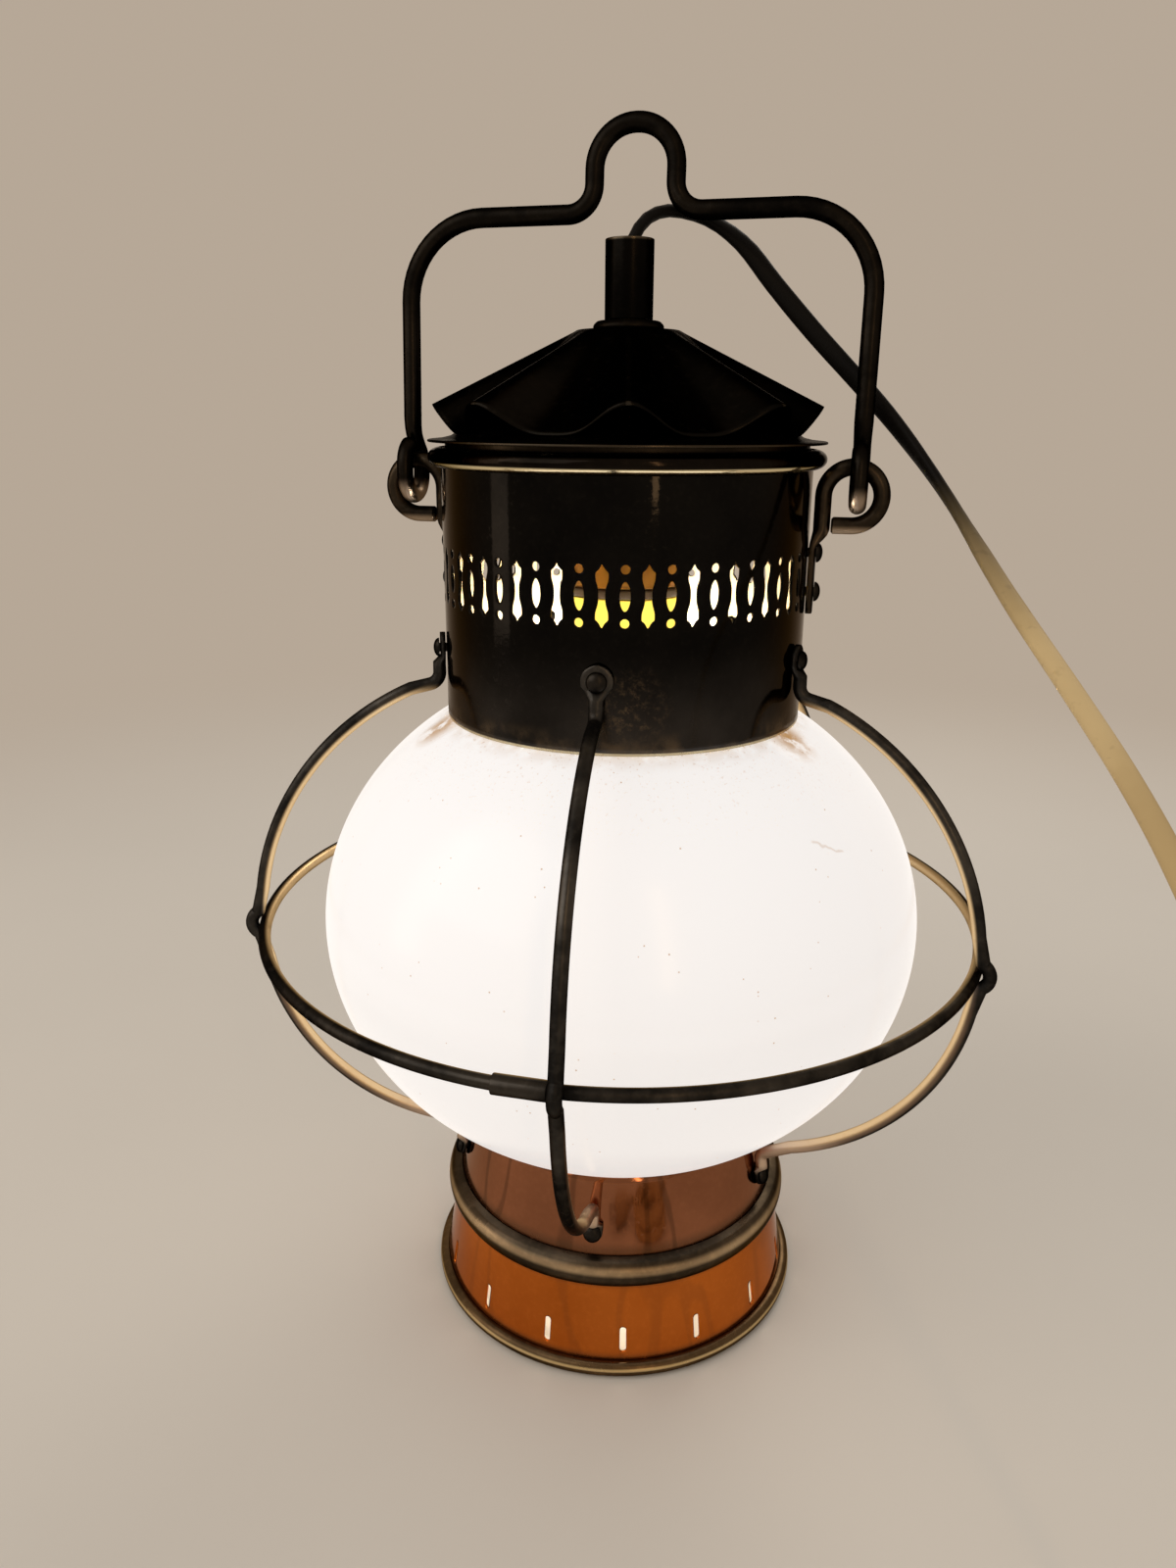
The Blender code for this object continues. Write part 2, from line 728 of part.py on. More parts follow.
# Apex collar and the tube that the cord leaves by
apex_shoulder = apex_radius - apex_height / 2
apex_profile = [
    (apex_shoulder, apex_z + apex_height),
    (apex_radius, apex_z + apex_height / 2),
    (apex_radius, apex_z),
    (hole_radius, apex_z),
    (hole_radius, apex_z + apex_height),
]
apex_collar = turned("apex_collar", apex_profile, aged_brass, small_sides)
tube_inside = tube_radius - tube_wall
tube_profile = [
    (tube_radius, tube_top_z),
    (tube_radius, tube_z),
    (tube_inside, tube_z),
    (tube_inside, tube_top_z),
]
cord_tube = turned("cord_tube", tube_profile, roof_brass, small_sides)
cord_bore = cord / 2 + seat_gap
bush_radius = tube_inside - seat_gap
bush_top_z = exit_z - seat_gap
bush_profile = [
    (bush_radius, bush_top_z),
    (bush_radius, bush_top_z - bush_depth),
    (cord_bore, bush_top_z - bush_depth),
    (cord_bore, bush_top_z),
]
tube_bush = turned("tube_bush", bush_profile, bush_black, hidden_sides)
nipple_low_z = cap_top_z - 2 * holder_wall
nipple_profile = [
    (nipple_radius, tube_z + nipple_top),
    (nipple_radius, nipple_low_z),
    (nipple_bore, nipple_low_z),
    (nipple_bore, tube_z + nipple_top),
]
nipple = turned("nipple", nipple_profile, polished_brass, hidden_sides)

# Two hexagon nuts: one clamps the roof, the other locks the lampholder
nut_bore = cylinder("nut_bore", nipple_radius + seat_gap, 2 * nut_height, hidden_sides)
nut_blank = cylinder("nut_blank", nut_flats / math.sqrt(3), nut_height, 6)
nut_mesh = joined_mesh("nut", [nut_blank], [nut_bore])
roof_nut = adopt(bpy.data.objects.new("roof_nut", nut_mesh), "roof_nut", polished_brass)
roof_nut.location.z = crown_z - roof_sheet - seat_gap - nut_height / 2
holder_nut = adopt(bpy.data.objects.new("holder_nut", nut_mesh), "holder_nut", polished_brass)
holder_nut.location.z = cap_top_z + seat_gap + nut_height / 2

# Lampholder: a domed cap, a ring and a skirt, with the porcelain block and screw shell inside
cap_outside = [(x * holder_radius, cap_z + y * cap_height) for x, y in holder_cap_shares]
cap_inside = [(x * (holder_radius - holder_wall), cap_z + y * (cap_height - holder_wall))
              for x, y in reversed(holder_cap_shares)]
cap_bore = nipple_radius + seat_gap
cap_profile = cap_outside + cap_inside
cap_profile += [(cap_bore, cap_top_z - holder_wall), (cap_bore, cap_top_z)]
holder_cap = turned("holder_cap", cap_profile, holder_brown, holder_sides)
block_radius = holder_radius - holder_wall - seat_gap
ring_outside = holder_radius + ring_proud
ring_profile = [
    (ring_outside, ring_z + ring_height),
    (ring_outside, ring_z),
    (block_radius + seat_gap, ring_z),
    (block_radius + seat_gap, ring_z + ring_height),
]
holder_ring = turned("holder_ring", ring_profile, holder_brown, holder_sides)
shell_inside = holder_radius - holder_wall
shell_ledge = screw_radius + 3 * seat_gap
shell_profile = [
    (holder_radius, shell_top_z),
    (holder_radius, shell_z),
    (shell_inside, shell_z),
    (shell_inside, shell_top_z - holder_wall / 2),
    (shell_ledge, shell_top_z - holder_wall / 2),
    (shell_ledge, shell_top_z),
]
holder_shell = turned("holder_shell", shell_profile, holder_cream, holder_sides)
block_profile = [
    (0.0, ring_z + block_height),
    (block_radius, ring_z + block_height),
    (block_radius, ring_z),
    (0.0, ring_z),
]
contact_block = turned("contact_block", block_profile, porcelain, holder_sides, closed=False)
screw_top_z = ring_z - seat_gap
screw_profile = [
    (screw_radius, screw_top_z),
    (screw_radius, screw_top_z - screw_height),
    (screw_radius - screw_wall, screw_top_z - screw_height),
    (screw_radius - screw_wall, screw_top_z),
]
screw_shell = turned("screw_shell", screw_profile, nickel, hidden_sides)

# Bulb: a hollow screw cap and a hollow opal glass that hangs in the globe
bulb_cap_z = screw_top_z - bulb_cap_height
bulb_cap_top_z = screw_top_z - seat_gap
bulb_cap_neck_z = screw_top_z - bulb_cap_height / 5
bulb_cap_profile = [
    (0.0, bulb_cap_top_z),
    (bulb_cap_radius / 2, bulb_cap_top_z),
    (bulb_cap_radius, bulb_cap_neck_z),
    (bulb_cap_radius, bulb_cap_z),
    (bulb_cap_radius - sheet, bulb_cap_z),
    (bulb_cap_radius - sheet, bulb_cap_neck_z),
    (0.0, bulb_cap_top_z - 2 * sheet),
]
bulb_cap = turned("bulb_cap", bulb_cap_profile, nickel, hidden_sides, closed=False)
bulb_top_z = bulb_cap_z - seat_gap
bulb_outside = [(x * bulb_radius, bulb_top_z - y * bulb_length) for x, y in bulb_shares]
bulb_hollow_radius = bulb_radius - bulb_wall
bulb_hollow_length = bulb_length - bulb_wall
bulb_inside = [(x * bulb_hollow_radius, bulb_top_z - y * bulb_hollow_length) for x, y in bulb_shares]
bulb_profile = [(0.0, bulb_top_z - bulb_hollow_length), *reversed(bulb_inside), *bulb_outside]
bulb_profile += [(0.0, bulb_top_z - bulb_length)]
bulb_glass = turned("bulb_glass", bulb_profile, bulb_opal, hidden_sides, closed=False)

# The lead inside the tube and the nipple
lead_points = [(0.0, 0.0, exit_z - seat_gap), (0.0, 0.0, cap_top_z - 3 * holder_wall)]
inner_lead = wire("inner_lead", lead_points, cord / 2, cord_gold)

# Everything that lifts or turns with the roof hangs on one empty on the lamp's axis
roof_axis = bpy.data.objects.new("roof_axis", None)
lamp.objects.link(roof_axis)
for piece in (
    roof, roof_collar, apex_collar, cord_tube, tube_bush, nipple, roof_nut, holder_nut, holder_cap,
    holder_ring, holder_shell, contact_block, screw_shell, bulb_cap, bulb_glass, inner_lead,
):
    piece.parent = roof_axis

# Rivets: one mesh, with a domed head outside and a smaller closed head inside
pad_out = drum_radius + seat_gap + eye_pad_thickness
strap_out = drum_radius + seat_gap + strap_thickness


def rivet_mesh(name, grip):
    """A rivet along Z: the underside of its head is at zero and its inner head starts at minus the grip."""
    profile = [
        (0.0, rivet_rise),
        (rivet_head, 0.0),
        (shank_radius, 0.0),
        (shank_radius, -grip),
        (rivet_tail, -grip),
        (0.0, -grip - rivet_tail_rise),
    ]
    return evaluated_mesh(turned(name, profile, None, rivet_sides, closed=False), name)


def place_rivet(name, mesh, matrix, material):
    """One rivet, with its own name, from the shared mesh."""
    rivet = adopt(bpy.data.objects.new(name, mesh), name, material)
    rivet.matrix_world = matrix
    return rivet


def rivets(kind, grip, places, material):
    """A set of like rivets, numbered from one."""
    mesh = rivet_mesh(kind, grip)
    bpy.data.objects.remove(bpy.data.objects[kind], do_unlink=True)
    for number, matrix in enumerate(places, 1):
        place_rivet(f"{kind}_{number}", mesh, matrix, material)


drum_grip = sheet + 3 * seat_gap
rivets(
    "rod_rivet",
    drum_grip + eye_pad_thickness,
    [facing(angle, pad_out + seat_gap, rod_rivet_z) for angle in rod_angles],
    cage_brass,
)
rivets(
    "ear_rivet",
    drum_grip + strap_thickness,
    [facing(angle, strap_out + seat_gap, z) for angle in ear_angles for z in strap_rivet_heights],
    aged_brass,
)
foot_grip = 2 * sheet + 6 * seat_gap + eye_pad_thickness
foot_normal = Vector((math.cos(cone_angle), math.sin(cone_angle)))
foot_out = foot_normal * (2 * seat_gap + eye_pad_thickness)
rivets(
    "foot_rivet",
    foot_grip,
    [
        facing(angle, foot_rivet_radius + foot_out.x, foot_rivet_z + foot_out.y, cone_angle)
        for angle in rod_angles
    ],
    cage_brass,
)

# Ears: a rod forged flat at one end, riveted to the drum, and bent round into a closed loop
stem_x = ear_x - ear_loop
ear_path = [(stem_x, stem_z), (stem_x, ear_z)]
ear_path += arc((ear_x, ear_z), ear_loop, math.pi, -math.pi / 2, 10)[1:]
ear_path += [(stem_x + ear_rod / 2 + seat_gap, ear_z - ear_loop)]
ear_loop_wire = as_mesh(wire("ear_wire", [(x, 0.0, z) for x, z in ear_path], ear_rod / 2, None))
strap_half = strap_width / 2
corner = strap_half / 3
strap_low = -strap_length
strap_outline = [
    (-strap_half, 0.0),
    (-strap_half, strap_low + corner),
    (-strap_half + corner, strap_low),
    (strap_half - corner, strap_low),
    (strap_half, strap_low + corner),
    (strap_half, 0.0),
    (ear_rod / 2, strap_thickness),
    (-ear_rod / 2, strap_thickness),
]
strap = plate("strap", strap_outline, strap_thickness)
strap.matrix_world = facing(math.pi / 2, strap_out - strap_thickness / 2, strap_top_z)
strap_holes = merged(
    "strap_holes", [(drum_hole.data, facing(math.pi / 2, drum_radius, z)) for z in strap_rivet_heights]
)
bpy.context.view_layer.update()
ear_mesh = joined_mesh("ear", [ear_loop_wire, strap], [strap_holes])
for side, turn in (("right", 0.0), ("left", math.pi)):
    ear = smooth(adopt(bpy.data.objects.new(f"ear_{side}", ear_mesh), f"ear_{side}", aged_brass), 50)
    ear.rotation_euler.z = turn

# Bail: one bent rod with a raised crown, and an eye at each end that swings in its ear
crown_half = bail_crown_width / 2
eye_radius = eye_width / 2 - eye_rod / 2
eye_top = ear_rod / 2 + eye_play + eye_rod / 2
ear_room = ear_loop - ear_rod / 2 - eye_rod / 2 - eye_play
eye_low = ear_z - pivot_z - math.sqrt(ear_room**2 - bail_offset**2)
leg_end = eye_top + (bail_rod - eye_rod)
half_path = [
    (bail_x, leg_end),
    (bail_x, bail_shoulder),
    (crown_half, bail_shoulder),
    (crown_half, bail_crown),
]
bail_corners = [(x, 0.0, z) for x, z in half_path] + [(-x, 0.0, z) for x, z in reversed(half_path)]
half_radii = [bail_corner, bail_crown_foot, crown_half * 0.98]
bail_path = rounded(bail_corners, half_radii + half_radii[::-1], 3)
bail_wire = as_mesh(wire("bail_wire", bail_path, bail_rod / 2, None))
eye_upper = arc((0.0, eye_top - eye_radius), eye_radius, 0.0, math.pi, 5)
eye_lower = arc((0.0, eye_low + eye_radius), eye_radius, math.pi, math.tau, 5)
eyes = []
for side in (1, -1):
    eye_points = [(side * bail_x, y, z) for y, z in eye_upper + eye_lower]
    eyes.append(as_mesh(wire("bail_eye", eye_points, eye_rod / 2, None, closed=True)))
bail_mesh = joined_mesh("bail", [bail_wire, *eyes])
bail = smooth(adopt(bpy.data.objects.new("bail", bail_mesh), "bail", bail_brass), 50)
bail.location.z = pivot_z
bail.rotation_euler.x = -bail_lean

# Cage ring: a hoop of wire round the globe, with a sleeve over the joint in it
bpy.ops.mesh.primitive_torus_add(
    major_segments=ring_sides, minor_segments=6, major_radius=cage_radius, minor_radius=ring_wire / 2
)
cage_ring = smooth(adopt(bpy.context.object, "cage_ring", cage_brass), 60)
cage_ring.location.z = cage_z
cage_ring.rotation_euler.z = sleeve_turn + math.pi / ring_sides
sleeve_bore = ring_wire / 2 + seat_gap
sleeve_outside = sleeve_bore + sleeve_wall
sleeve_profile = [
    (sleeve_outside, sleeve_length / 2),
    (sleeve_outside, -sleeve_length / 2),
    (sleeve_bore, -sleeve_length / 2),
    (sleeve_bore, sleeve_length / 2),
]
ring_sleeve = turned("ring_sleeve", sleeve_profile, cage_brass, hidden_sides)
sleeve_radius = cage_radius * math.cos(math.pi / ring_sides)
sleeve_place = Matrix.Rotation(sleeve_turn, 4, "Z") @ Matrix.Translation((0.0, -sleeve_radius, cage_z))
ring_sleeve.matrix_world = sleeve_place @ Matrix.Rotation(math.radians(90), 4, "Y")

# Cage rods: each is riveted to the drum, bows out round the globe, kinks over the ring and is riveted to the base
rod_radius = rod_diameter / 2
kink = ring_wire / 2 + rod_radius + 1.5 * seat_gap
arc_r = cage_radius + ring_raise - rod_arc
arc_z = cage_z
knee_z = drum_bottom_z + rod_knee
knee_angle = math.asin((knee_z - arc_z) / rod_arc)
toe_angle = math.asin((rod_toe - arc_z) / rod_arc)
kink_angle = kink_reach / rod_arc
wrap_angle = math.radians(60)
bow = arc((arc_r, arc_z), rod_arc, knee_angle, kink_angle, 4)
wrap = arc((cage_radius, cage_z), kink, wrap_angle, -wrap_angle, 4)
lower_bow = arc((arc_r, arc_z), rod_arc, -kink_angle, toe_angle, 4)
head_x = drum_radius + seat_gap + rod_radius
head_top = rod_rivet_z - rivet_head - 2 * seat_gap
along = Vector((math.sin(cone_angle), -math.cos(cone_angle)))
foot_top = Vector((foot_rivet_radius, foot_rivet_z)) + foot_normal * (seat_gap + rod_radius)
foot_start = foot_top - along * (rivet_head + 2 * seat_gap)
toe_corner = foot_top - along * (foot_pad_length - foot_pad_width)
upper_part = rounded([(head_x, head_top, 0.0), (head_x, knee_z + knee_radius / 2, 0.0), (*bow[0], 0.0)],
                     [knee_radius], 2)
lower_part = rounded([(*lower_bow[-1], 0.0), (*toe_corner, 0.0), (*foot_start, 0.0)], [toe_radius], 2)
rod_profile = [p[:2] for p in upper_part] + bow[1:] + wrap + lower_bow + [p[:2] for p in lower_part[1:]]
rod_wire = as_mesh(wire("rod_wire", [(0.0, -r, z) for r, z in rod_profile], rod_radius, None, rings=1))
eye_pad = cylinder("eye_pad", eye_pad_width / 2, eye_pad_thickness, rivet_sides)
eye_pad.matrix_world = facing(0.0, pad_out - eye_pad_thickness / 2, rod_rivet_z)
pad_half = foot_pad_width / 2
pad_run = foot_pad_length - foot_pad_width
foot_pad_outline = arc((0.0, pad_run), pad_half, 0.0, math.pi, 3) + arc((0.0, 0.0), pad_half, math.pi, math.tau, 3)
foot_pad = plate("foot_pad", foot_pad_outline, eye_pad_thickness)
pad_middle = Vector((foot_rivet_radius, foot_rivet_z)) + foot_normal * (seat_gap + eye_pad_thickness / 2)
foot_pad.matrix_world = facing(0.0, pad_middle.x, pad_middle.y, cone_angle)
pad_holes = merged(
    "pad_holes",
    [
        (drum_hole.data, facing(0.0, drum_radius, rod_rivet_z)),
        (drum_hole.data, facing(0.0, foot_rivet_radius, foot_rivet_z, cone_angle)),
    ],
)
bpy.context.view_layer.update()
rod_mesh = joined_mesh("cage_rod", [rod_wire, eye_pad, foot_pad], [pad_holes])
for number, angle in enumerate(rod_angles, 1):
    rod = smooth(adopt(bpy.data.objects.new(f"cage_rod_{number}", rod_mesh), f"cage_rod_{number}", cage_brass), 50)
    rod.rotation_euler.z = angle
for thing in (drum_hole, foot_hole):
    bpy.data.objects.remove(thing, do_unlink=True)

# Cord: a free run from the tube to the table, a round coil in two layers, and a short tail to the plug
coil_start = Vector((coil_x + coil_outer, coil_y, coil_high_z))
run_end = coil_start + Vector((0.0, cord + seat_gap, 0.0))


def smooth_route(knots, step):
    """Points a step apart on a smooth curve through the knots: a centripetal Catmull-Rom spline."""
    chain = [np.array(k, float) for k in knots]
    chain = [2 * chain[0] - chain[1], *chain, 2 * chain[-1] - chain[-2]]
    fine = []
    for a, b, c, d in zip(chain, chain[1:], chain[2:], chain[3:]):
        t1 = math.sqrt(np.linalg.norm(b - a))
        t2 = t1 + math.sqrt(np.linalg.norm(c - b))
        t3 = t2 + math.sqrt(np.linalg.norm(d - c))
        for t in np.linspace(t1, t2, 24, endpoint=False):
            ab = a + (b - a) * t / t1
            bc = b + (c - b) * (t - t1) / (t2 - t1)
            cd = c + (d - c) * (t - t2) / (t3 - t2)
            abc = ab + (bc - ab) * t / t2
            bcd = bc + (cd - bc) * (t - t1) / (t3 - t1)
            fine.append(abc + (bcd - abc) * (t - t1) / (t2 - t1))
    fine.append(chain[-2])
    fine = np.array(fine)
    lengths = np.concatenate([[0.0], np.cumsum(np.linalg.norm(np.diff(fine, axis=0), axis=1))])
    count = max(2, round(lengths[-1] / step) + 1)
    wanted = np.linspace(0.0, lengths[-1], count)
    return np.stack([np.interp(wanted, lengths, fine[:, i]) for i in range(3)], axis=1)


free_route = [(x, y, z * route_stretch) for x, y, z in route]
curve_knots = [*free_route[1:], tuple(run_end + Vector((0.0, cord, 0.0))), tuple(run_end)]
run_points = [free_route[0], *smooth_route(curve_knots, route_step).tolist()]
wire("cord_run", run_points, cord / 2, cord_gold)

loop_points = 24
turn_angles = np.linspace(0.0, coil_turns * math.tau, round(coil_turns * loop_points) + 1)
reversal = coil_turns * math.tau / 2
from_reversal = turn_angles - reversal
inner_coil = coil_outer - coil_pitch * coil_turns / 2
coil_radii = inner_coil + coil_pitch * np.abs(from_reversal) / math.tau
climb = np.clip(from_reversal / math.pi + 0.5, 0.0, 1.0)
climb_share = climb * climb * (3 - 2 * climb)
coil_heights = coil_high_z + (coil_low_z - coil_high_z) * climb_share
coil_points = np.stack(
    [coil_x + coil_radii * np.cos(turn_angles), coil_y - coil_radii * np.sin(turn_angles), coil_heights], axis=1
)
apart = np.linalg.norm(coil_points[:, None] - coil_points[None], axis=2)
order = np.arange(len(coil_points))
apart[np.abs(order[:, None] - order[None]) < loop_points / 2] = np.inf
print(f"least gap of the coil to itself: {(apart.min() - cord) * 1000:.2f} mm")
end_angle = coil_turns * math.tau
end_way = np.array([-math.sin(end_angle), -math.cos(end_angle), 0.0])
coil_end = coil_points[-1] + end_way * cord
coil_path = [(coil_start + Vector((0.0, cord, 0.0)))[:], *coil_points.tolist(), coil_end.tolist()]
wire("cord_coil", coil_path, cord / 2, cord_gold, rings=1)

plug_z = plug_thickness / 2 + seat_gap / 2
tail_start = coil_end + end_way * seat_gap
tail_end = tail_start + end_way * tail_length
tail_end[2] = plug_z
lift = plug_z - coil_low_z
tail_shares = np.linspace(0.0, 1.0, 7)
tail_points = [
    (tail_start + end_way * tail_length * s + np.array([0.0, 0.0, lift * s * s * (3 - 2 * s)])).tolist()
    for s in tail_shares
]
wire("cord_tail", tail_points, cord / 2, cord_gold)

# Plug: a flat moulded body with a tapered sleeve for the cord, and two round pins
plug_axis = math.atan2(end_way[1], end_way[0])
plug_frame = Matrix.Translation(tail_end + end_way * seat_gap) @ Matrix.Rotation(plug_axis, 4, "Z")
body_start = relief_length
body_end = relief_length + plug_length
body_outline = [
    (body_start, -plug_back / 2),
    (body_end - plug_length / 3, -plug_front / 2),
    (body_end, -plug_front / 2),
    (body_end, plug_front / 2),
    (body_end - plug_length / 3, plug_front / 2),
    (body_start, plug_back / 2),
]
plug_body = plate("plug_block", body_outline, plug_thickness)
plug_round = plug_body.modifiers.new("round", "BEVEL")
plug_round.width = plug_bevel
plug_round.segments = 1
plug_round.limit_method = "ANGLE"
plug_body = as_mesh(plug_body)
bpy.ops.mesh.primitive_cone_add(
    vertices=small_sides, radius1=relief_tip_radius, radius2=relief_radius, depth=relief_length + plug_joint
)
relief = adopt(bpy.context.object, "relief", None, cutters)
relief.location.x = (relief_length + plug_joint) / 2
relief.rotation_euler.y = math.radians(90)
bpy.context.view_layer.update()
plug_mesh = joined_mesh("plug_body", [plug_body, relief])
plug = smooth(adopt(bpy.data.objects.new("plug_body", plug_mesh), "plug_body", cord_gold), 50)
plug.matrix_world = plug_frame
pin_profile = [
    (0.0, pin_length),
    (pin_radius * 0.6, pin_length),
    (pin_radius, pin_length - pin_radius),
    (pin_radius, 0.0),
    (0.0, 0.0),
]
pin_mesh = evaluated_mesh(turned("pin", pin_profile, None, rivet_sides, closed=False), "plug_pin")
bpy.data.objects.remove(bpy.data.objects["pin"], do_unlink=True)
for number, side in enumerate((-1, 1), 1):
    pin = adopt(bpy.data.objects.new(f"plug_pin_{number}", pin_mesh), f"plug_pin_{number}", nickel)
    pin_place = Matrix.Translation((body_end + seat_gap, side * pin_pitch / 2, 0.0))
    pin.matrix_world = plug_frame @ pin_place @ Matrix.Rotation(math.radians(90), 4, "Y")
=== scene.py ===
"""A ship's lamp on a plain floor: opal globe, pierced drum, fluted roof, wire cage, swinging bail and its cord.

Lengths are in metres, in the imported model's own frame: the origin is the centre of the foot, +Z is up, the two
ears lie along X and -Y is the front. Angles round the lamp are counted from the front towards +X.
"""

import math

import bmesh
import bpy
import numpy as np
from mathutils import Matrix, Vector


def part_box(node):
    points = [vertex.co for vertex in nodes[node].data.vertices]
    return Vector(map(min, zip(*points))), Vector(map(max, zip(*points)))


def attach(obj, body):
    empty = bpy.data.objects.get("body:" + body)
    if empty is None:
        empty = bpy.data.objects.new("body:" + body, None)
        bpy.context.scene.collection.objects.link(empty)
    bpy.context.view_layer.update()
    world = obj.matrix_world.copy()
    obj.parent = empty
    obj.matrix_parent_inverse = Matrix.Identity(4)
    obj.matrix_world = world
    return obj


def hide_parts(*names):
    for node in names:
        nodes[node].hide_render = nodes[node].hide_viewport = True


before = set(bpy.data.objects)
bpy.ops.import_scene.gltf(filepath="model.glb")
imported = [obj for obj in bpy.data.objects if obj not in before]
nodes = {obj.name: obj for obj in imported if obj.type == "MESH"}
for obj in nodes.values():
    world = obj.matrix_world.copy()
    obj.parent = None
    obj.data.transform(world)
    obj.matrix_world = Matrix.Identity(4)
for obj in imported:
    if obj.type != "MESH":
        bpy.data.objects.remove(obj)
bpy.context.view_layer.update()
scene = bpy.context.scene
scene.view_settings.view_transform = "Standard"

# The camera: where the photograph was taken from, above the lamp's front and a little to its right.
view_place = Vector((0.079735, -0.356770, 0.305488))
view_right = Vector((0.96824772, 0.24991136, 0.00637718))
view_up = Vector((-0.08310074, 0.29769421, 0.95103755))
view_data = bpy.data.cameras.new("view")
view_data.lens = 26.141
view_data.sensor_width = 36.0
view_data.clip_start = 0.01
view = bpy.data.objects.new("view", view_data)
scene.collection.objects.link(view)
view_axes = Matrix((view_right, view_up, view_right.cross(view_up))).transposed()
view.matrix_world = Matrix.Translation(view_place) @ view_axes.to_4x4()
scene.camera = view


# The floor and the room: a plain pale floor that fades into a plain warm wall, with soft lamps round it.
# Materials here and below are put together with two small classes, one for a socket and one for a finish.
class Signal:
    """A socket that carries a number over a surface; Python's own signs add Math nodes to it."""

    def __init__(self, finish, socket):
        self.finish = finish
        self.socket = socket

    def maths(self, operation, *values):
        return self.finish.node("ShaderNodeMath", {"operation": operation}, dict(enumerate(values)))

    def __add__(self, other):
        return self.maths("ADD", self, other)

    def __radd__(self, other):
        return self.maths("ADD", other, self)

    def __sub__(self, other):
        return self.maths("SUBTRACT", self, other)

    def __rsub__(self, other):
        return self.maths("SUBTRACT", other, self)

    def __mul__(self, other):
        return self.maths("MULTIPLY", self, other)

    def __rmul__(self, other):
        return self.maths("MULTIPLY", other, self)

    def __mod__(self, other):
        return self.maths("MODULO", self, other)

    def __pow__(self, other):
        return self.maths("POWER", self, other)

    def __abs__(self):
        return self.maths("ABSOLUTE", self)

    def larger(self, other):
        """The larger of two signals."""
        return self.maths("MAXIMUM", self, other)

    def over(self, low, high):
        """Nought below the low value, one above the high one, and a smooth rise between them."""
        settings = {"interpolation_type": "SMOOTHSTEP"}
        return self.finish.node("ShaderNodeMapRange", settings, {"Value": self, "From Min": low, "From Max": high})

    def under(self, low, high):
        """One below the low value and nought above the high one."""
        return 1.0 - self.over(low, high)

    def within(self, rise, fall):
        """Over the first pair of values and under the second pair."""
        return self.over(*rise) * self.under(*fall)


class Finish:
    """One material: a Principled shader with constants on its sockets, and the nodes that vary it."""

    def __init__(self, name, **constants):
        self.material = bpy.data.materials.new(name)
        self.material.use_nodes = True
        self.tree = self.material.node_tree
        self.shader = self.tree.nodes["Principled BSDF"]
        for words, value in constants.items():
            self.shader.inputs[words.replace("_", " ").title().replace("Ior", "IOR")].default_value = value

    def node(self, kind, settings, inputs, output=0):
        """Adds one node: its settings first, then the values or links of its inputs."""
        node = self.tree.nodes.new(kind)
        for key, value in settings.items():
            setattr(node, key, value)
        for key, value in inputs.items():
            if isinstance(value, Signal):
                self.tree.links.new(value.socket, node.inputs[key])
            else:
                node.inputs[key].default_value = value
        return Signal(self, node.outputs[output])

    def place(self, stretch=(1.0, 1.0, 1.0)):
        """The piece's own coordinates, in metres, stretched along its axes."""
        own = self.node("ShaderNodeTexCoord", {}, {}, "Object")
        if stretch == (1.0, 1.0, 1.0):
            return own
        return self.node("ShaderNodeVectorMath", {"operation": "MULTIPLY"}, {0: own, 1: stretch})

    def along(self, axis):
        """One of the three coordinates, as a number."""
        return self.node("ShaderNodeSeparateXYZ", {}, {0: self.place()}, axis)

    def from_axis(self):
        """The distance from the lamp's axis: the length of the place without its height."""
        level = self.place((1.0, 1.0, 0.0))
        return self.node("ShaderNodeVectorMath", {"operation": "LENGTH"}, {0: level}, "Value")

    def noise(self, scale, detail=3.0, stretch=(1.0, 1.0, 1.0), roughness=0.55):
        inputs = {"Vector": self.place(stretch), "Scale": scale, "Detail": detail, "Roughness": roughness}
        return self.node("ShaderNodeTexNoise", {}, inputs)

    def blend(self, share, first, second):
        """A colour between two others, each a colour or a link."""
        first, second = (c if isinstance(c, Signal) else (*c, 1.0) for c in (first, second))
        settings = {"data_type": "RGBA", "clamp_factor": True}
        return self.node("ShaderNodeMix", settings, {0: share, 6: first, 7: second}, 2)

    def feed(self, **signals):
        """Links signals to the shader's sockets."""
        for words, signal in signals.items():
            self.tree.links.new(signal.socket, self.shader.inputs[words.replace("_", " ").title()])
        return self

    def colour(self, share, first, second):
        """Sets the tone between two colours, by a share from nought to one."""
        self.tone = self.blend(share, first, second)
        return self.feed(base_color=self.tone)

    def tint(self, share, colour):
        """Turns the tone so far to another colour, by a share from nought to one."""
        return self.colour(share, self.tone, colour)

    def bump(self, height, depth):
        """Turns a height from nought to one into relief of a depth in metres."""
        return self.feed(normal=self.node("ShaderNodeBump", {}, {"Height": height, "Distance": depth}))


def mottled(name, first, second, scale, detail=3.0, stretch=(1.0, 1.0, 1.0), rough=None, spread=0.2, **constants):
    """A finish whose tone drifts between two colours with one cloud, and its roughness too where one is given."""
    finish = Finish(name, **constants)
    finish.cloud = finish.noise(scale, detail, stretch)
    finish.colour(finish.cloud, first, second)
    if rough is not None:
        finish.feed(roughness=rough + spread * finish.cloud)
    return finish


def round_axis(radius, turn, height):
    """Points round the lamp's axis: the radius times sin, minus the radius times cos, and the height."""
    return np.stack(np.broadcast_arrays(radius * np.sin(turn), -radius * np.cos(turn), height), axis=-1)


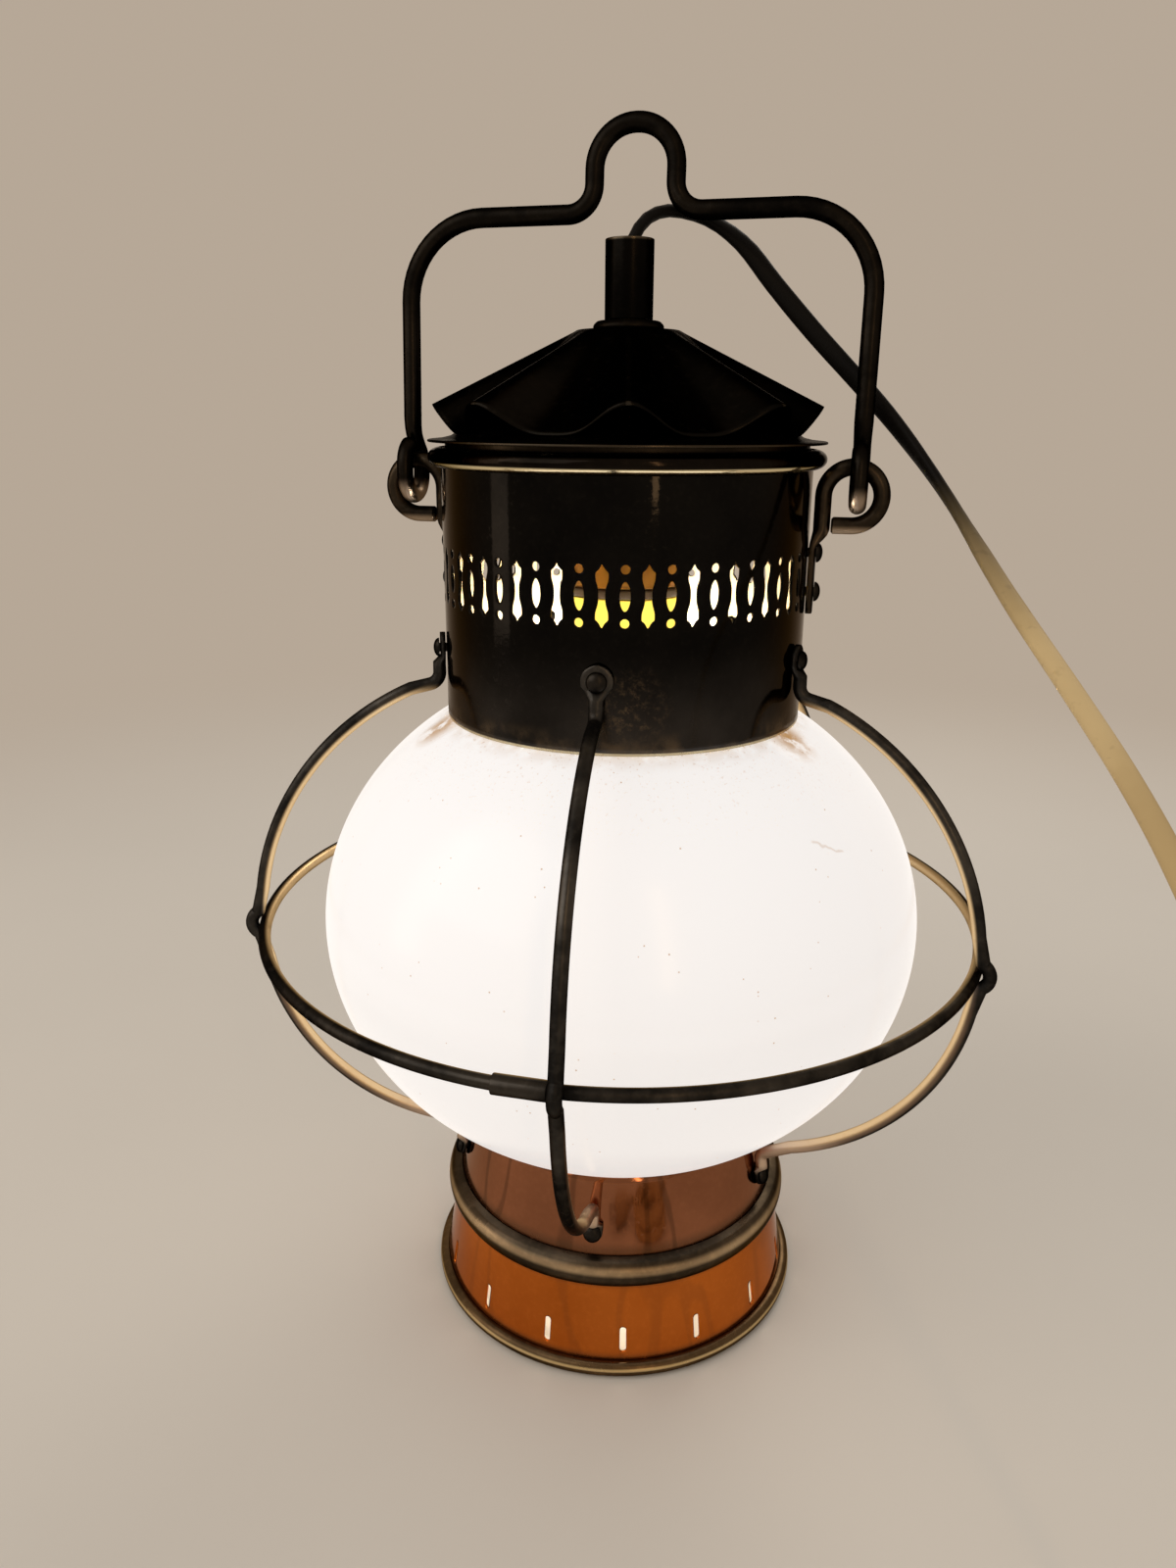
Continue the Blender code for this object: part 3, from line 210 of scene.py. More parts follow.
room_tone = (0.47, 0.39, 0.31)
floor_tone = (0.66, 0.60, 0.52)
floor_radius = 6.0
fade_from, fade_to = 0.42, 1.10
floor_finish = mottled("floor", floor_tone, tuple(0.94 * c for c in floor_tone), 5.0, roughness=0.62)
far = floor_finish.node("ShaderNodeEmission", {}, {"Color": (*room_tone, 1.0)})
near = Signal(floor_finish, floor_finish.shader.outputs[0])
fade = floor_finish.from_axis().over(fade_from, fade_to)
mixed = floor_finish.node("ShaderNodeMixShader", {}, {0: fade, 1: near, 2: far})
floor_finish.tree.links.new(mixed.socket, floor_finish.tree.nodes["Material Output"].inputs[0])

rim = np.linspace(0.0, math.tau, 96, endpoint=False)
floor_mesh = bpy.data.meshes.new("floor")
floor_mesh.from_pydata(round_axis(floor_radius, rim, 0.0).tolist(), [], [list(range(len(rim)))])
floor_mesh.materials.append(floor_finish.material)
floor = bpy.data.objects.new("floor", floor_mesh)
scene.collection.objects.link(floor)

# The room's own light is even and plain. The lens and bright metal see it in the wall's tone.
world = bpy.data.worlds.new("room")
scene.world = world
world.use_nodes = True
sky = world.node_tree.nodes["Background"]
soft_light = (0.56, 0.55, 0.54)
rays = world.node_tree.nodes.new("ShaderNodeLightPath")
seen = world.node_tree.nodes.new("ShaderNodeMath")
seen.operation = "MAXIMUM"
tone = world.node_tree.nodes.new("ShaderNodeMix")
tone.data_type = "RGBA"
tone.inputs[6].default_value = (*soft_light, 1.0)
tone.inputs[7].default_value = (*room_tone, 1.0)
for start, end in (
    (rays.outputs["Is Camera Ray"], seen.inputs[0]),
    (rays.outputs["Is Glossy Ray"], seen.inputs[1]),
    (seen.outputs[0], tone.inputs[0]),
    (tone.outputs[2], sky.inputs["Color"]),
):
    world.node_tree.links.new(start, end)

# Each soft lamp: place, the point it faces, width, height, power and colour.
soft_lamps = {
    "front_left": ((-1.10, -1.20, 1.30), (0.0, 0.0, 0.18), 1.5, 1.5, 9.5, (1.0, 0.97, 0.93)),
    "right_strip": ((0.62, -1.10, 0.70), (0.0, 0.0, 0.25), 0.08, 1.1, 1.7, (1.0, 0.66, 0.36)),
    "left_strip": ((-1.10, -0.47, 0.55), (0.0, 0.0, 0.22), 0.30, 1.2, 1.7, (1.0, 0.84, 0.70)),
    "behind": ((0.35, 1.30, 1.10), (0.0, 0.0, 0.20), 0.8, 0.6, 5.0, (1.0, 0.95, 0.88)),
}
for name, (place, aim, wide, high, power, colour) in soft_lamps.items():
    lamp_data = bpy.data.lights.new(name, "AREA")
    lamp_data.shape = "RECTANGLE"
    lamp_data.size, lamp_data.size_y = wide, high
    lamp_data.energy = power
    lamp_data.color = colour
    soft = bpy.data.objects.new(name, lamp_data)
    soft.rotation_euler = (Vector(aim) - Vector(place)).to_track_quat("-Z", "Y").to_euler()
    soft.location = place
    scene.collection.objects.link(soft)


# The cord: a flat two-core lead in a smooth gold sleeve. It leaves the tube upwards, arches over to the right and
# falls past the globe to the floor, where the length that the photograph doesn't show lies in a round coil.
def lattice(rows, columns, close_rows=False, close_columns=False):
    """The four corners of each face between the lines of a grid of points, numbered row by row."""
    index = np.arange(rows * columns).reshape(rows, columns)
    if close_rows:
        index = np.vstack([index, index[:1]])
    if close_columns:
        index = np.hstack([index, index[:, :1]])
    corners = (index[:-1, :-1], index[:-1, 1:], index[1:, 1:], index[1:, :-1])
    return np.stack(corners, axis=-1).reshape(-1, 4)


def piece(name, parts, finish, body, replaced=None, wall=0.0, inside=None, sharp=38.0):
    """One piece from a list of (points, faces) pairs.

    Points in one place are merged, faces are turned outwards, and edges past the sharp angle in degrees stay
    crisp. A wall thickens an open sheet inwards, with its own finish inside where one is given. The piece rides on
    a body and stands for the CAD nodes that it replaces.
    """
    starts = np.cumsum([0] + [len(points) for points, _ in parts])
    points = np.vstack([points for points, _ in parts])
    faces = np.vstack([faces + start for (_, faces), start in zip(parts, starts)])
    mesh = bpy.data.meshes.new("finished_" + name)
    mesh.from_pydata(points.tolist(), [], faces.tolist())
    shape = bmesh.new()
    shape.from_mesh(mesh)
    bmesh.ops.remove_doubles(shape, verts=shape.verts, dist=2e-6)
    bmesh.ops.dissolve_degenerate(shape, edges=shape.edges, dist=1e-7)
    bmesh.ops.recalc_face_normals(shape, faces=shape.faces)
    shape.to_mesh(mesh)
    shape.free()
    mesh.materials.append(finish.material)
    mesh.shade_smooth()
    mesh.set_sharp_from_angle(angle=math.radians(sharp))
    thing = bpy.data.objects.new("finished_" + name, mesh)
    scene.collection.objects.link(thing)
    if wall:
        sheet_wall = thing.modifiers.new("wall", "SOLIDIFY")
        sheet_wall.thickness = wall
        sheet_wall.offset = -1.0
        if inside:
            mesh.materials.append(inside.material)
            sheet_wall.material_offset = 1
    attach(thing, body)
    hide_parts(*(replaced or [name]))
    return thing


def unit(vectors):
    """Vectors brought to a length of one."""
    return vectors / np.linalg.norm(vectors, axis=-1, keepdims=True)


def square_to(way, vectors):
    """Unit vectors square to unit ways: each vector less its part along its way."""
    return unit(vectors - way * np.sum(vectors * way, axis=1, keepdims=True))


def eased(share):
    """A share from nought to one with a soft start and end: its square times three less twice itself."""
    return share * share * (3 - 2 * share)


def lengths_along(points):
    """How far along a chain each of its points lies: the running sum of its steps."""
    return np.concatenate([[0.0], np.cumsum(np.linalg.norm(np.diff(points, axis=0), axis=1))])


def evenly(points, count):
    """A chain's points again, moved to a number of equal steps along its straight runs."""
    points = np.asarray(points, float)
    lengths = lengths_along(points)
    wanted = np.linspace(0.0, lengths[-1], count + 1)
    return np.stack([np.interp(wanted, lengths, line) for line in points.T], axis=1)


def carried(path, across, half_width, half_thick, power=2.0, sides=20, closed=False):
    """A rod along a path: at each point a ring whose width lies along the across vector.

    The ring is (signed |cos|^(2/power) times half the width, signed |sin|^(2/power) times half the thickness): a
    circle or an ellipse at power 2, and squarer above it. The across vector is first made square to the path. An
    open rod ends in two flat faces that are fans from a centre.
    """
    path = np.asarray(path, float)
    across = np.broadcast_to(np.asarray(across, float), path.shape)
    half_width, half_thick, power = (
        np.broadcast_to(np.asarray(v, float), (len(path),))[:, None] for v in (half_width, half_thick, power)
    )
    way = unit(np.roll(path, -1, axis=0) - np.roll(path, 1, axis=0) if closed else np.gradient(path, axis=0))
    side = square_to(way, across)
    rise = np.cross(way, side)
    turn = np.linspace(0.0, math.tau, sides, endpoint=False)[None]
    wide = half_width * np.sign(np.cos(turn)) * np.abs(np.cos(turn)) ** (2 / power)
    thick = half_thick * np.sign(np.sin(turn)) * np.abs(np.sin(turn)) ** (2 / power)
    rings = path[:, None] + wide[..., None] * side[:, None] + thick[..., None] * rise[:, None]
    if not closed:
        first, last = (np.broadcast_to(path[i], (1, sides, 3)) for i in (0, -1))
        rings = np.concatenate([first, rings, last])
    return rings.reshape(-1, 3), lattice(len(rings), sides, close_rows=closed, close_columns=True)


def flowing(knots, step):
    """Points a step apart on a smooth curve through the knots: a centripetal Catmull-Rom spline.

    Each knot's time is the one before it plus the square root of their distance. Between two knots, a point is
    blended by time from the lines through the four nearest ones, and from those blends twice more.
    """
    chain = np.asarray(knots, float)
    chain = np.vstack([2 * chain[:1] - chain[1:2], chain, 2 * chain[-1:] - chain[-2:-1]])
    a, b, c, d = (chain[i : len(chain) - 3 + i, None] for i in range(4))
    t1 = np.sqrt(np.linalg.norm(b - a, axis=-1, keepdims=True))
    t2 = t1 + np.sqrt(np.linalg.norm(c - b, axis=-1, keepdims=True))
    t3 = t2 + np.sqrt(np.linalg.norm(d - c, axis=-1, keepdims=True))
    t = t1 + (t2 - t1) * np.linspace(0.0, 1.0, 24, endpoint=False)[None, :, None]
    ab = a + (b - a) * t / t1
    bc = b + (c - b) * (t - t1) / (t2 - t1)
    cd = c + (d - c) * (t - t2) / (t3 - t2)
    abc = ab + (bc - ab) * t / t2
    bcd = bc + (cd - bc) * (t - t1) / (t3 - t1)
    fine = np.vstack([(abc + (bcd - abc) * (t - t1) / (t2 - t1)).reshape(-1, 3), chain[-2]])
    return evenly(fine, max(1, round(lengths_along(fine)[-1] / step)))


cord_width = 0.0058
cord_thickness = 0.0036
cord_power = 2.2
gap = 0.0003
route = [
    (0.0000, 0.0000, 0.3486), (0.0000, 0.0000, 0.3502), (0.0004, 0.0004, 0.3530), (0.0018, 0.0020, 0.3568),
    (0.0044, 0.0050, 0.3605), (0.0080, 0.0084, 0.3625), (0.0117, 0.0108, 0.3628), (0.0184, 0.0132, 0.3614),
    (0.0242, 0.0146, 0.3589), (0.0317, 0.0157, 0.3534), (0.0408, 0.0163, 0.3430), (0.0535, 0.0158, 0.3294),
    (0.0684, 0.0132, 0.3146), (0.0774, 0.0104, 0.3054), (0.0874, 0.0056, 0.2940), (0.0959, -0.0004, 0.2833),
    (0.1036, -0.0080, 0.2726), (0.1106, -0.0180, 0.2626), (0.1173, -0.0310, 0.2536), (0.1296, -0.0570, 0.2380),
    (0.1396, -0.0800, 0.2245), (0.1471, -0.0990, 0.2122), (0.1545, -0.1155, 0.1965), (0.1615, -0.1290, 0.1740),
    (0.1675, -0.1395, 0.1460), (0.1724, -0.1480, 0.1150), (0.1765, -0.1555, 0.0820), (0.1796, -0.1625, 0.0500),
    (0.1812, -0.1710, 0.0260), (0.1815, -0.1835, 0.0135),
]
route_step = 0.004
coil_x, coil_y = 0.1400, -0.2060
coil_outer, coil_pitch, coil_turns = 0.0415, 0.0063, 6.25
coil_low = cord_width / 2 + gap / 2
coil_high = coil_low + coil_pitch
coil_start = np.array([coil_x + coil_outer, coil_y, coil_high])
lead_in = coil_start + (0.0, cord_width + gap, 0.0)
run = np.vstack([route[0], flowing([*route[1:], lead_in + (0.0, cord_width, 0.0), lead_in], route_step)])

# The coil winds inwards in its upper layer, drops in the middle and winds outwards again on the floor.
turn_angles = np.linspace(0.0, coil_turns * math.tau, round(coil_turns * 48) + 1)
from_middle = turn_angles - coil_turns * math.pi
coil_radii = coil_outer - coil_pitch * coil_turns / 2 + coil_pitch * np.abs(from_middle) / math.tau
coil_drop = eased(np.clip(from_middle / math.pi + 0.5, 0.0, 1.0))
coil_heights = coil_high + (coil_low - coil_high) * coil_drop
coil = np.stack(
    [coil_x + coil_radii * np.cos(turn_angles), coil_y - coil_radii * np.sin(turn_angles), coil_heights], axis=1
)
end_way = np.array([-math.sin(turn_angles[-1]), -math.cos(turn_angles[-1]), 0.0])
coil_end = coil[-1] + end_way * cord_width
tail_length = 0.0260
plug_z = 0.00695
tail_share = np.linspace(0.0, 1.0, 9)[:, None]
tail_rise = (plug_z - coil_low) * eased(tail_share) * (0.0, 0.0, 1.0)
tail = coil_end + end_way * (gap + tail_length * tail_share) + tail_rise
cord_path = np.vstack([run, coil_start + (0.0, cord_width / 2, 0.0), coil, coil_end, tail])
cord_along = lengths_along(cord_path)

# The lead leaves the tube on edge, turns its flat side to the front on the way down, and lies on edge in its coil.
twist_knots = np.array([0.000, 0.030, 0.050, 0.074, 0.090, 0.118, 0.134, 0.150, 0.166, 0.190, 0.226, 0.262, 0.300])
twist_shares = np.array([0.00, 0.05, 0.65, 1.00, 1.10, 1.45, 1.75, 2.00, 2.40, 2.62, 2.70, 2.85, 3.00])
stand_from, stand_length, stand_middle = 0.060, 0.050, 0.030
sight = cord_path - np.array(view_place)
cord_way = unit(np.gradient(cord_path, axis=0))
flat_side = unit(np.cross(cord_way, sight))
on_edge = square_to(cord_way, sight)
twist = np.interp(cord_along, twist_knots, twist_shares)[:, None] * math.pi / 2
cord_across = np.cos(twist) * on_edge + np.sin(twist) * flat_side
run_length = lengths_along(run)[-1]
upright = np.clip((cord_along - run_length + stand_from) / stand_length, 0.0, 1.0)[:, None]
up_or_down = np.sign(cord_across[np.searchsorted(cord_along, run_length - stand_middle), 2])
cord_across = (1 - upright) * cord_across + upright * (0.0, 0.0, up_or_down)

# The sleeve is gold with a faint rub. Towards the arch it is painted near black: a painted shade over the gold.
shade_low, shade_high = 0.246, 0.290
cord_finish = Finish("gold_sleeve", specular_ior_level=0.06)
sleeve_cloud = cord_finish.noise(26.0)
sleeve_rub = cord_finish.noise(240.0, 2.0)
cord_finish.colour(sleeve_cloud.over(0.35, 0.7), (0.60, 0.44, 0.22), (0.48, 0.34, 0.16))
cord_finish.tint(sleeve_rub.over(0.62, 0.75) * 0.25, (0.22, 0.16, 0.08))
cord_finish.tint(cord_finish.along("Z").over(shade_low, shade_high), (0.006, 0.005, 0.004))
cord_finish.feed(roughness=0.36 + 0.22 * sleeve_cloud).bump(sleeve_rub, 0.00002)
cord = piece(
    "cord", [carried(cord_path, cord_across, cord_width / 2, cord_thickness / 2, cord_power, 18)], cord_finish,
    "lamp", ["cord_run", "cord_coil", "cord_tail"],
)

# The plug: a flat body moulded in one with a ribbed, tapered sleeve for the lead, and two round nickel pins that
# are set in it. It lies flat on the floor beside the coil.
relief_length, relief_start, relief_growth = 0.0140, 0.0038, 0.0010
rib_count, rib_groove = 5, 0.00045
plug_length, plug_squareness = 0.0350, 3.6
pin_radius, pin_length, pin_pitch, pin_corner = 0.0020, 0.0190, 0.0186, 0.0016
plug_start = tail[-1] + end_way * gap
rib = np.linspace(0.0, 1.0, 25)
relief_half = relief_start + relief_growth * rib - rib_groove * (np.cos(rib * math.tau * rib_count) < 0)
body_share = np.array([0.00, 0.01, 0.04, 0.12, 0.30, 0.50, 0.66, 0.80, 0.95, 0.985, 1.00])
body_wide = np.array([0.0058, 0.0066, 0.0074, 0.0086, 0.0104, 0.0121, 0.0129, 0.0130, 0.0130, 0.0127, 0.0119])
body_thick = np.array([0.0046, 0.0054, 0.0060, 0.0064, 0.0067, 0.0068, 0.0068, 0.0068, 0.0068, 0.0066, 0.0059])
plug_along = np.concatenate([relief_length * rib, relief_length + plug_length * body_share])
plug_path = plug_start + end_way * plug_along[:, None]
plug_across = np.cross(end_way, (0.0, 0.0, 1.0))
plug_wide, plug_thick, plug_power = (
    np.concatenate(pair)
    for pair in (
        (relief_half, body_wide), (relief_half, body_thick),
        (np.full(len(rib), 2.0), np.full(len(body_share), plug_squareness)),
    )
)
plug_finish = mottled("gold_moulding", (0.58, 0.44, 0.26), (0.47, 0.34, 0.19), 60.0, rough=0.38)
plug_finish.bump(plug_finish.noise(900.0, 2.0), 0.00005)
plug = piece(
    "plug_body", [carried(plug_path, plug_across, plug_wide, plug_thick, plug_power, 40)], plug_finish, "lamp",
)


def softened(profile, radius, steps=4):
    """A closed profile with each corner turned into a short curve.

    The curve is (1 - t) squared times a point before the corner, plus 2 t (1 - t) times the corner, plus t squared
    times a point after it. Both points lie a radius from the corner, or less than half way to the next one.
    """
    corner = np.asarray(profile, float)
    before, after = np.roll(corner, 1, axis=0) - corner, np.roll(corner, -1, axis=0) - corner
    start, end = (
        corner + side * np.minimum(0.45, radius / np.maximum(np.linalg.norm(side, axis=1, keepdims=True), 1e-9))
        for side in (before, after)
    )
    t = np.linspace(0.0, 1.0, steps + 1)[None, :, None]
    curve = (1 - t) ** 2 * start[:, None] + 2 * t * (1 - t) * corner[:, None] + t**2 * end[:, None]
    return curve.reshape(-1, 2)


def upright_block(inside, outside, low, high, radius):
    """The softened profile of a pin, a tube or a ring: two upright sides and two level ones."""
    return softened([(inside, low), (outside, low), (outside, high), (inside, high)], radius)


def turned(profile, sides=192, closed=True, matrix=None):
    """A turned shape: each point (radius, height) of the profile runs once round Z, in equal steps."""
    profile = np.asarray(profile, float)
    turn = np.linspace(0.0, math.tau, sides, endpoint=False)
    points = round_axis(profile[:, :1], turn[None], profile[:, 1:]).reshape(-1, 3)
    if matrix is not None:
        points = placed(points, matrix)
    return points, lattice(len(profile), sides, close_rows=closed, close_columns=True)


def placed(points, matrix):
    """Points moved by a matrix."""
    matrix = np.array(matrix)
    return points @ matrix[:3, :3].T + matrix[:3, 3]


def facing(angle, radius, z, tilt=0.0):
    """The place of a piece whose own +Z points out from the lamp's side, at an angle counted from the front."""
    out = Matrix.Rotation(angle, 4, "Z") @ Matrix.Translation((0.0, -radius, z))
    return out @ Matrix.Rotation(math.radians(90) - tilt, 4, "X")


pin_finish = mottled(
    "nickel", (0.66, 0.63, 0.58), (0.46, 0.43, 0.38), 160.0, stretch=(1.0, 8.0, 8.0), rough=0.2, spread=0.25,
    metallic=1.0,
)
pin_profile = upright_block(0.0, pin_radius, 0.0, pin_length, pin_corner)
pin_turn = Vector(end_way).to_track_quat("Z", "Y").to_matrix().to_4x4()
for side in (-1, 1):
    pin_foot = Vector(plug_start + end_way * (relief_length + plug_length) + plug_across * side * pin_pitch / 2)
    away = {n: (sum(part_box(f"plug_pin_{n}"), Vector()) / 2 - pin_foot).length for n in (1, 2)}
    number = min(away, key=away.get)
    pin = turned(pin_profile, 32, matrix=Matrix.Translation(pin_foot) @ pin_turn)
    piece(f"pin_{number}", [pin], pin_finish, "lamp", [f"plug_pin_{number}"])


# The foot: the edge of the base is rolled round a wire, and the lamp stands on it. It is brass, gone brown, with
# a painted highlight in gold: a line round its outside.
def brass(name, dark, bright, rough, spread=0.15, cloud_scale=34.0, speck_scale=420.0, relief=0.00004, edge=0.12):
    """Brass under a patina: broad clouds and fine specks drive the tone from dark to bright, and the gloss.

    The edge value is how much of the room's light the metal mirrors where it turns away from the eye.
    """
    finish = Finish(name, metallic=1.0, specular_tint=(edge, 0.90 * edge, 0.81 * edge, 1.0))
    clouds = finish.noise(cloud_scale, 5.0)
    specks = finish.noise(speck_scale, 2.0)
    finish.share = clouds.over(0.30, 0.72) * 0.75 + specks.over(0.45, 0.75) * 0.25
    finish.gloss = rough + spread * (1.0 - clouds.over(0.3, 0.7)) + 0.12 * specks.over(0.6, 0.7)
    return finish.colour(finish.share, dark, bright).feed(roughness=finish.gloss).bump(specks, relief)


def arc_of(centre, radius, start, end, steps):
    """Points on an arc: the centre plus the radius, or one for each axis, times the cos and sin of equal turns."""
    turn = np.linspace(start, end, steps)
    return np.asarray(centre) + np.asarray(radius) * np.stack([np.cos(turn), np.sin(turn)], axis=1)


foot_radius, foot_inside, roll_radius = 0.0664, 0.0626, 0.0026
gutter_radius, gutter_z = 0.06345, 0.0032745
foot_highlight_from, foot_highlight_to = (0.0027, 0.0032), (0.0035, 0.0041)
roll = arc_of((foot_radius - roll_radius, roll_radius), roll_radius, math.radians(100), math.radians(-90), 24)
foot_profile = np.vstack([roll, [(foot_inside, 0.0), (foot_inside, gutter_z), (gutter_radius, gutter_z)]])
foot_finish = brass("rolled_edge", (0.060, 0.038, 0.020), (0.18, 0.115, 0.058), 0.22, edge=0.5)
# Painted highlight: a gold line round the roll's outside.
foot_finish.tint(foot_finish.along("Z").within(foot_highlight_from, foot_highlight_to) * 0.85, (0.78, 0.60, 0.31))
piece("foot_ring", [turned(foot_profile)], foot_finish, "lamp")

# The base: a sheet of brass spun into two flares that meet under the bead, with fifteen draught slots punched above
# the foot. It is polished brass, painted a deep coppery orange that is partly a painted reflection of a wooden
# table, and the globe's light falls out of the slots.
sheet = 0.0008
base_bottom_z, base_bend_z, base_top_z = 0.0035745, 0.0370, 0.0695
base_heights = np.array([base_bottom_z, base_bend_z, base_top_z])
base_radii = np.array([0.0634, 0.0582, 0.0511331])
slot_width, slot_height, slot_z = 0.0022, 0.0089, 0.0125
slot_count, slot_turn = 15, math.radians(15.9)
cell_half, cell_rise = 0.0030, 0.0070
bend_near, bend_past = 0.0012, 0.0030


def whole(points):
    """A closed outline from its upper right quarter, mirrored to the left and then downwards."""
    upper = np.vstack([points, points[-2::-1] * (-1.0, 1.0)])
    return np.vstack([upper, upper[-2:0:-1] * (1.0, -1.0)])


def border(half_width, levels, top_steps):
    """The upper right quarter of a cell's border: up its side at the given levels, and half way along its top."""
    side = np.stack([np.full(len(levels), half_width), levels], axis=1)
    top_x = np.linspace(half_width, 0.0, top_steps + 1)[1:]
    return np.vstack([side, np.stack([top_x, np.full(len(top_x), levels[-1])], axis=1)])


def pierced(hole, edge, shares=(0.0, 0.22, 0.55, 1.0)):
    """A cell with a hole in it, from the upper right quarters of the hole's outline and of the cell's border.

    The hole's outline is divided into as many equal steps as the border has, and each ring of points between the
    two lies at its own share of the way out.
    """
    hole, edge = whole(evenly(hole, len(edge) - 1)), whole(edge)
    rings = hole[None] + np.array(shares)[:, None, None] * (edge - hole)[None]
    return rings.reshape(-1, 2), lattice(len(shares), len(hole), close_columns=True)


def flat_grid(across, up):
    """A plain grid of points between given lines."""
    return np.stack(np.meshgrid(across, up), axis=-1).reshape(-1, 2), lattice(len(up), len(across))


def rolled(flat, angles, centre_z, radius_at, arc_radius):
    """Flat shapes laid on the lamp's side at several angles: x becomes an angle, and z finds its own radius."""
    points, faces = flat
    turn = angles[:, None] + points[None, :, 0] / arc_radius
    z = np.broadcast_to(centre_z + points[None, :, 1], turn.shape)
    shift = np.arange(len(angles))[:, None, None] * len(points)
    return round_axis(radius_at(z), turn, z).reshape(-1, 3), (faces[None] + shift).reshape(-1, 4)


def base_radius(z):
    """The base's outside radius at a height: straight between its foot, its bend and its top."""
    return np.interp(z, base_heights, base_radii)


slot_radius = float(base_radius(slot_z))
slot_half = slot_width / 2
slot_round = arc_of((0.0, slot_height / 2 - slot_half), slot_half, 0.0, math.pi / 2, 9)
slot_levels = np.linspace(0.0, cell_rise, 8)
slot_cell = pierced(np.vstack([(slot_half, 0.0), slot_round]), border(cell_half, slot_levels, 4))
slot_angles = slot_turn + np.arange(slot_count) * math.tau / slot_count
plain_lines = np.linspace(cell_half, slot_radius * math.tau / slot_count - cell_half, 13)
sector_lines = np.concatenate([np.linspace(-cell_half, cell_half, 9), plain_lines[1:]])
full_levels = np.concatenate([-slot_levels[:0:-1], slot_levels])
low_rows = np.linspace(base_bottom_z - slot_z, -cell_rise, 3)
bend_row = base_bend_z - slot_z
high_rows = np.concatenate(
    [np.linspace(cell_rise, bend_row - bend_near, 8), [bend_row, bend_row + bend_near],
     np.linspace(bend_row + bend_past, base_top_z - slot_z, 10)]
)
base_parts = [
    rolled(flat, slot_angles, slot_z, base_radius, slot_radius)
    for flat in (
        slot_cell, flat_grid(plain_lines, full_levels), flat_grid(sector_lines, low_rows),
        flat_grid(sector_lines, high_rows),
    )
]

# The cone above the bead is redder than the one below. Both have faint dark streaks, a painted reflection, and a
# painted shade in the corners by the foot and round the bead, where the surface is also rougher.
upper_from, shade_by_foot = (0.0380, 0.0440), (0.0045, 0.0085)
shade_by_bead_from, shade_by_bead_to = (0.0300, 0.0325), (0.043, 0.047)
base_finish = brass(
    "coppery_brass", (0.455, 0.110, 0.013), (0.630, 0.170, 0.025), 0.05, 0.07, cloud_scale=22.0,
    speck_scale=520.0, relief=0.00001, edge=0.8,
)
base_z = base_finish.along("Z")
upper_cone = base_z.over(*upper_from)
upper_tone = base_finish.blend(base_finish.share, (0.250, 0.095, 0.045), (0.345, 0.135, 0.066))
streak_reflection = abs(base_finish.noise(36.0, 1.5, (1.0, 1.0, 0.20)) - 0.5).under(0.008, 0.026)
corner_shade = base_z.under(*shade_by_foot) * 0.7 + base_z.within(shade_by_bead_from, shade_by_bead_to) * 0.5
base_finish.tint(upper_cone, upper_tone)
base_finish.tint(streak_reflection * (0.16 + 0.28 * upper_cone), (0.075, 0.034, 0.018))
base_finish.tint(corner_shade, (0.07, 0.045, 0.025))
base_finish.feed(roughness=base_finish.gloss + 0.3 * corner_shade)
base_finish.bump(base_finish.noise(24.0, 1.0, (1.0, 1.0, 0.5)), 0.0007)
base_inside_finish = brass("base_inside_brass", (0.55, 0.42, 0.24), (0.80, 0.68, 0.44), 0.42, edge=1.0)
piece("base_shell", base_parts, base_finish, "lamp", wall=sheet, inside=base_inside_finish)

# The base's bead: a half-round brass strip soldered over the bend, dark towards its edges, with a painted
# highlight along its crown that stands for the globe's light on it.
bead_depth, bead_half, highlight_rise = 0.0039, 0.0052, 0.0020
bow = arc_of((base_radii[1], base_bend_z), (bead_depth, bead_half), math.radians(68), math.radians(-60), 22)
bead_levels = base_bend_z + bead_half * np.array([-1.0, 0.0, 1.0])
bead_back = np.stack([base_radius(bead_levels) + gap, bead_levels], axis=1)
bead_finish = brass("dark_bead", (0.026, 0.021, 0.015), (0.11, 0.080, 0.052), 0.26, 0.18, edge=0.4)
from_highlight = abs(bead_finish.along("Z") - (base_bend_z + highlight_rise))
bead_finish.tint(from_highlight.under(0.0003, highlight_rise) * (0.45 + 0.55 * bead_finish.share), (0.58, 0.42, 0.25))
piece("base_bead", [turned(np.vstack([bow, bead_back]))], bead_finish, "lamp")

# The globe: blown opal glass, a flattened ball with a ground mouth at each end. It glows, and it carries fine
# specks, a scuff, and brown dust where the drum's edge rests on its shoulder.
globe_z, globe_half, globe_radius = 0.1430205, 0.0848, 0.1000
glass = 0.0026
lower_mouth, upper_mouth = 0.0400, 0.0440
top_angle, low_angle = math.acos(upper_mouth / globe_radius), -math.acos(lower_mouth / globe_radius)
outer = arc_of((0.0, globe_z), (globe_radius, globe_half), top_angle, low_angle, 90)
inner = arc_of((0.0, globe_z), (globe_radius - glass, globe_half - glass), low_angle, top_angle, 90)
dust_places = ((-0.0535, -0.0300, 0.2105), (0.0575, -0.0173, 0.2112))
spot_reach, shoulder_from, fine_from = (0.001, 0.011), (0.2095, 0.2132), (0.190, 0.2130)
scuff_place, scuff_reach, scuff_width = (0.0710, -0.0457, 0.1885), (0.0055, 0.0068), (0.0001, 0.0005)
scuff_slope, scuff_level, scuff_sway, scuff_wobble = 0.478, 0.22774, 0.008, 0.0022


def away_from(finish, place):
    """The distance of a point on the surface from a place on it."""
    return finish.node("ShaderNodeVectorMath", {"operation": "DISTANCE"}, {0: finish.place(), 1: place}, "Value")


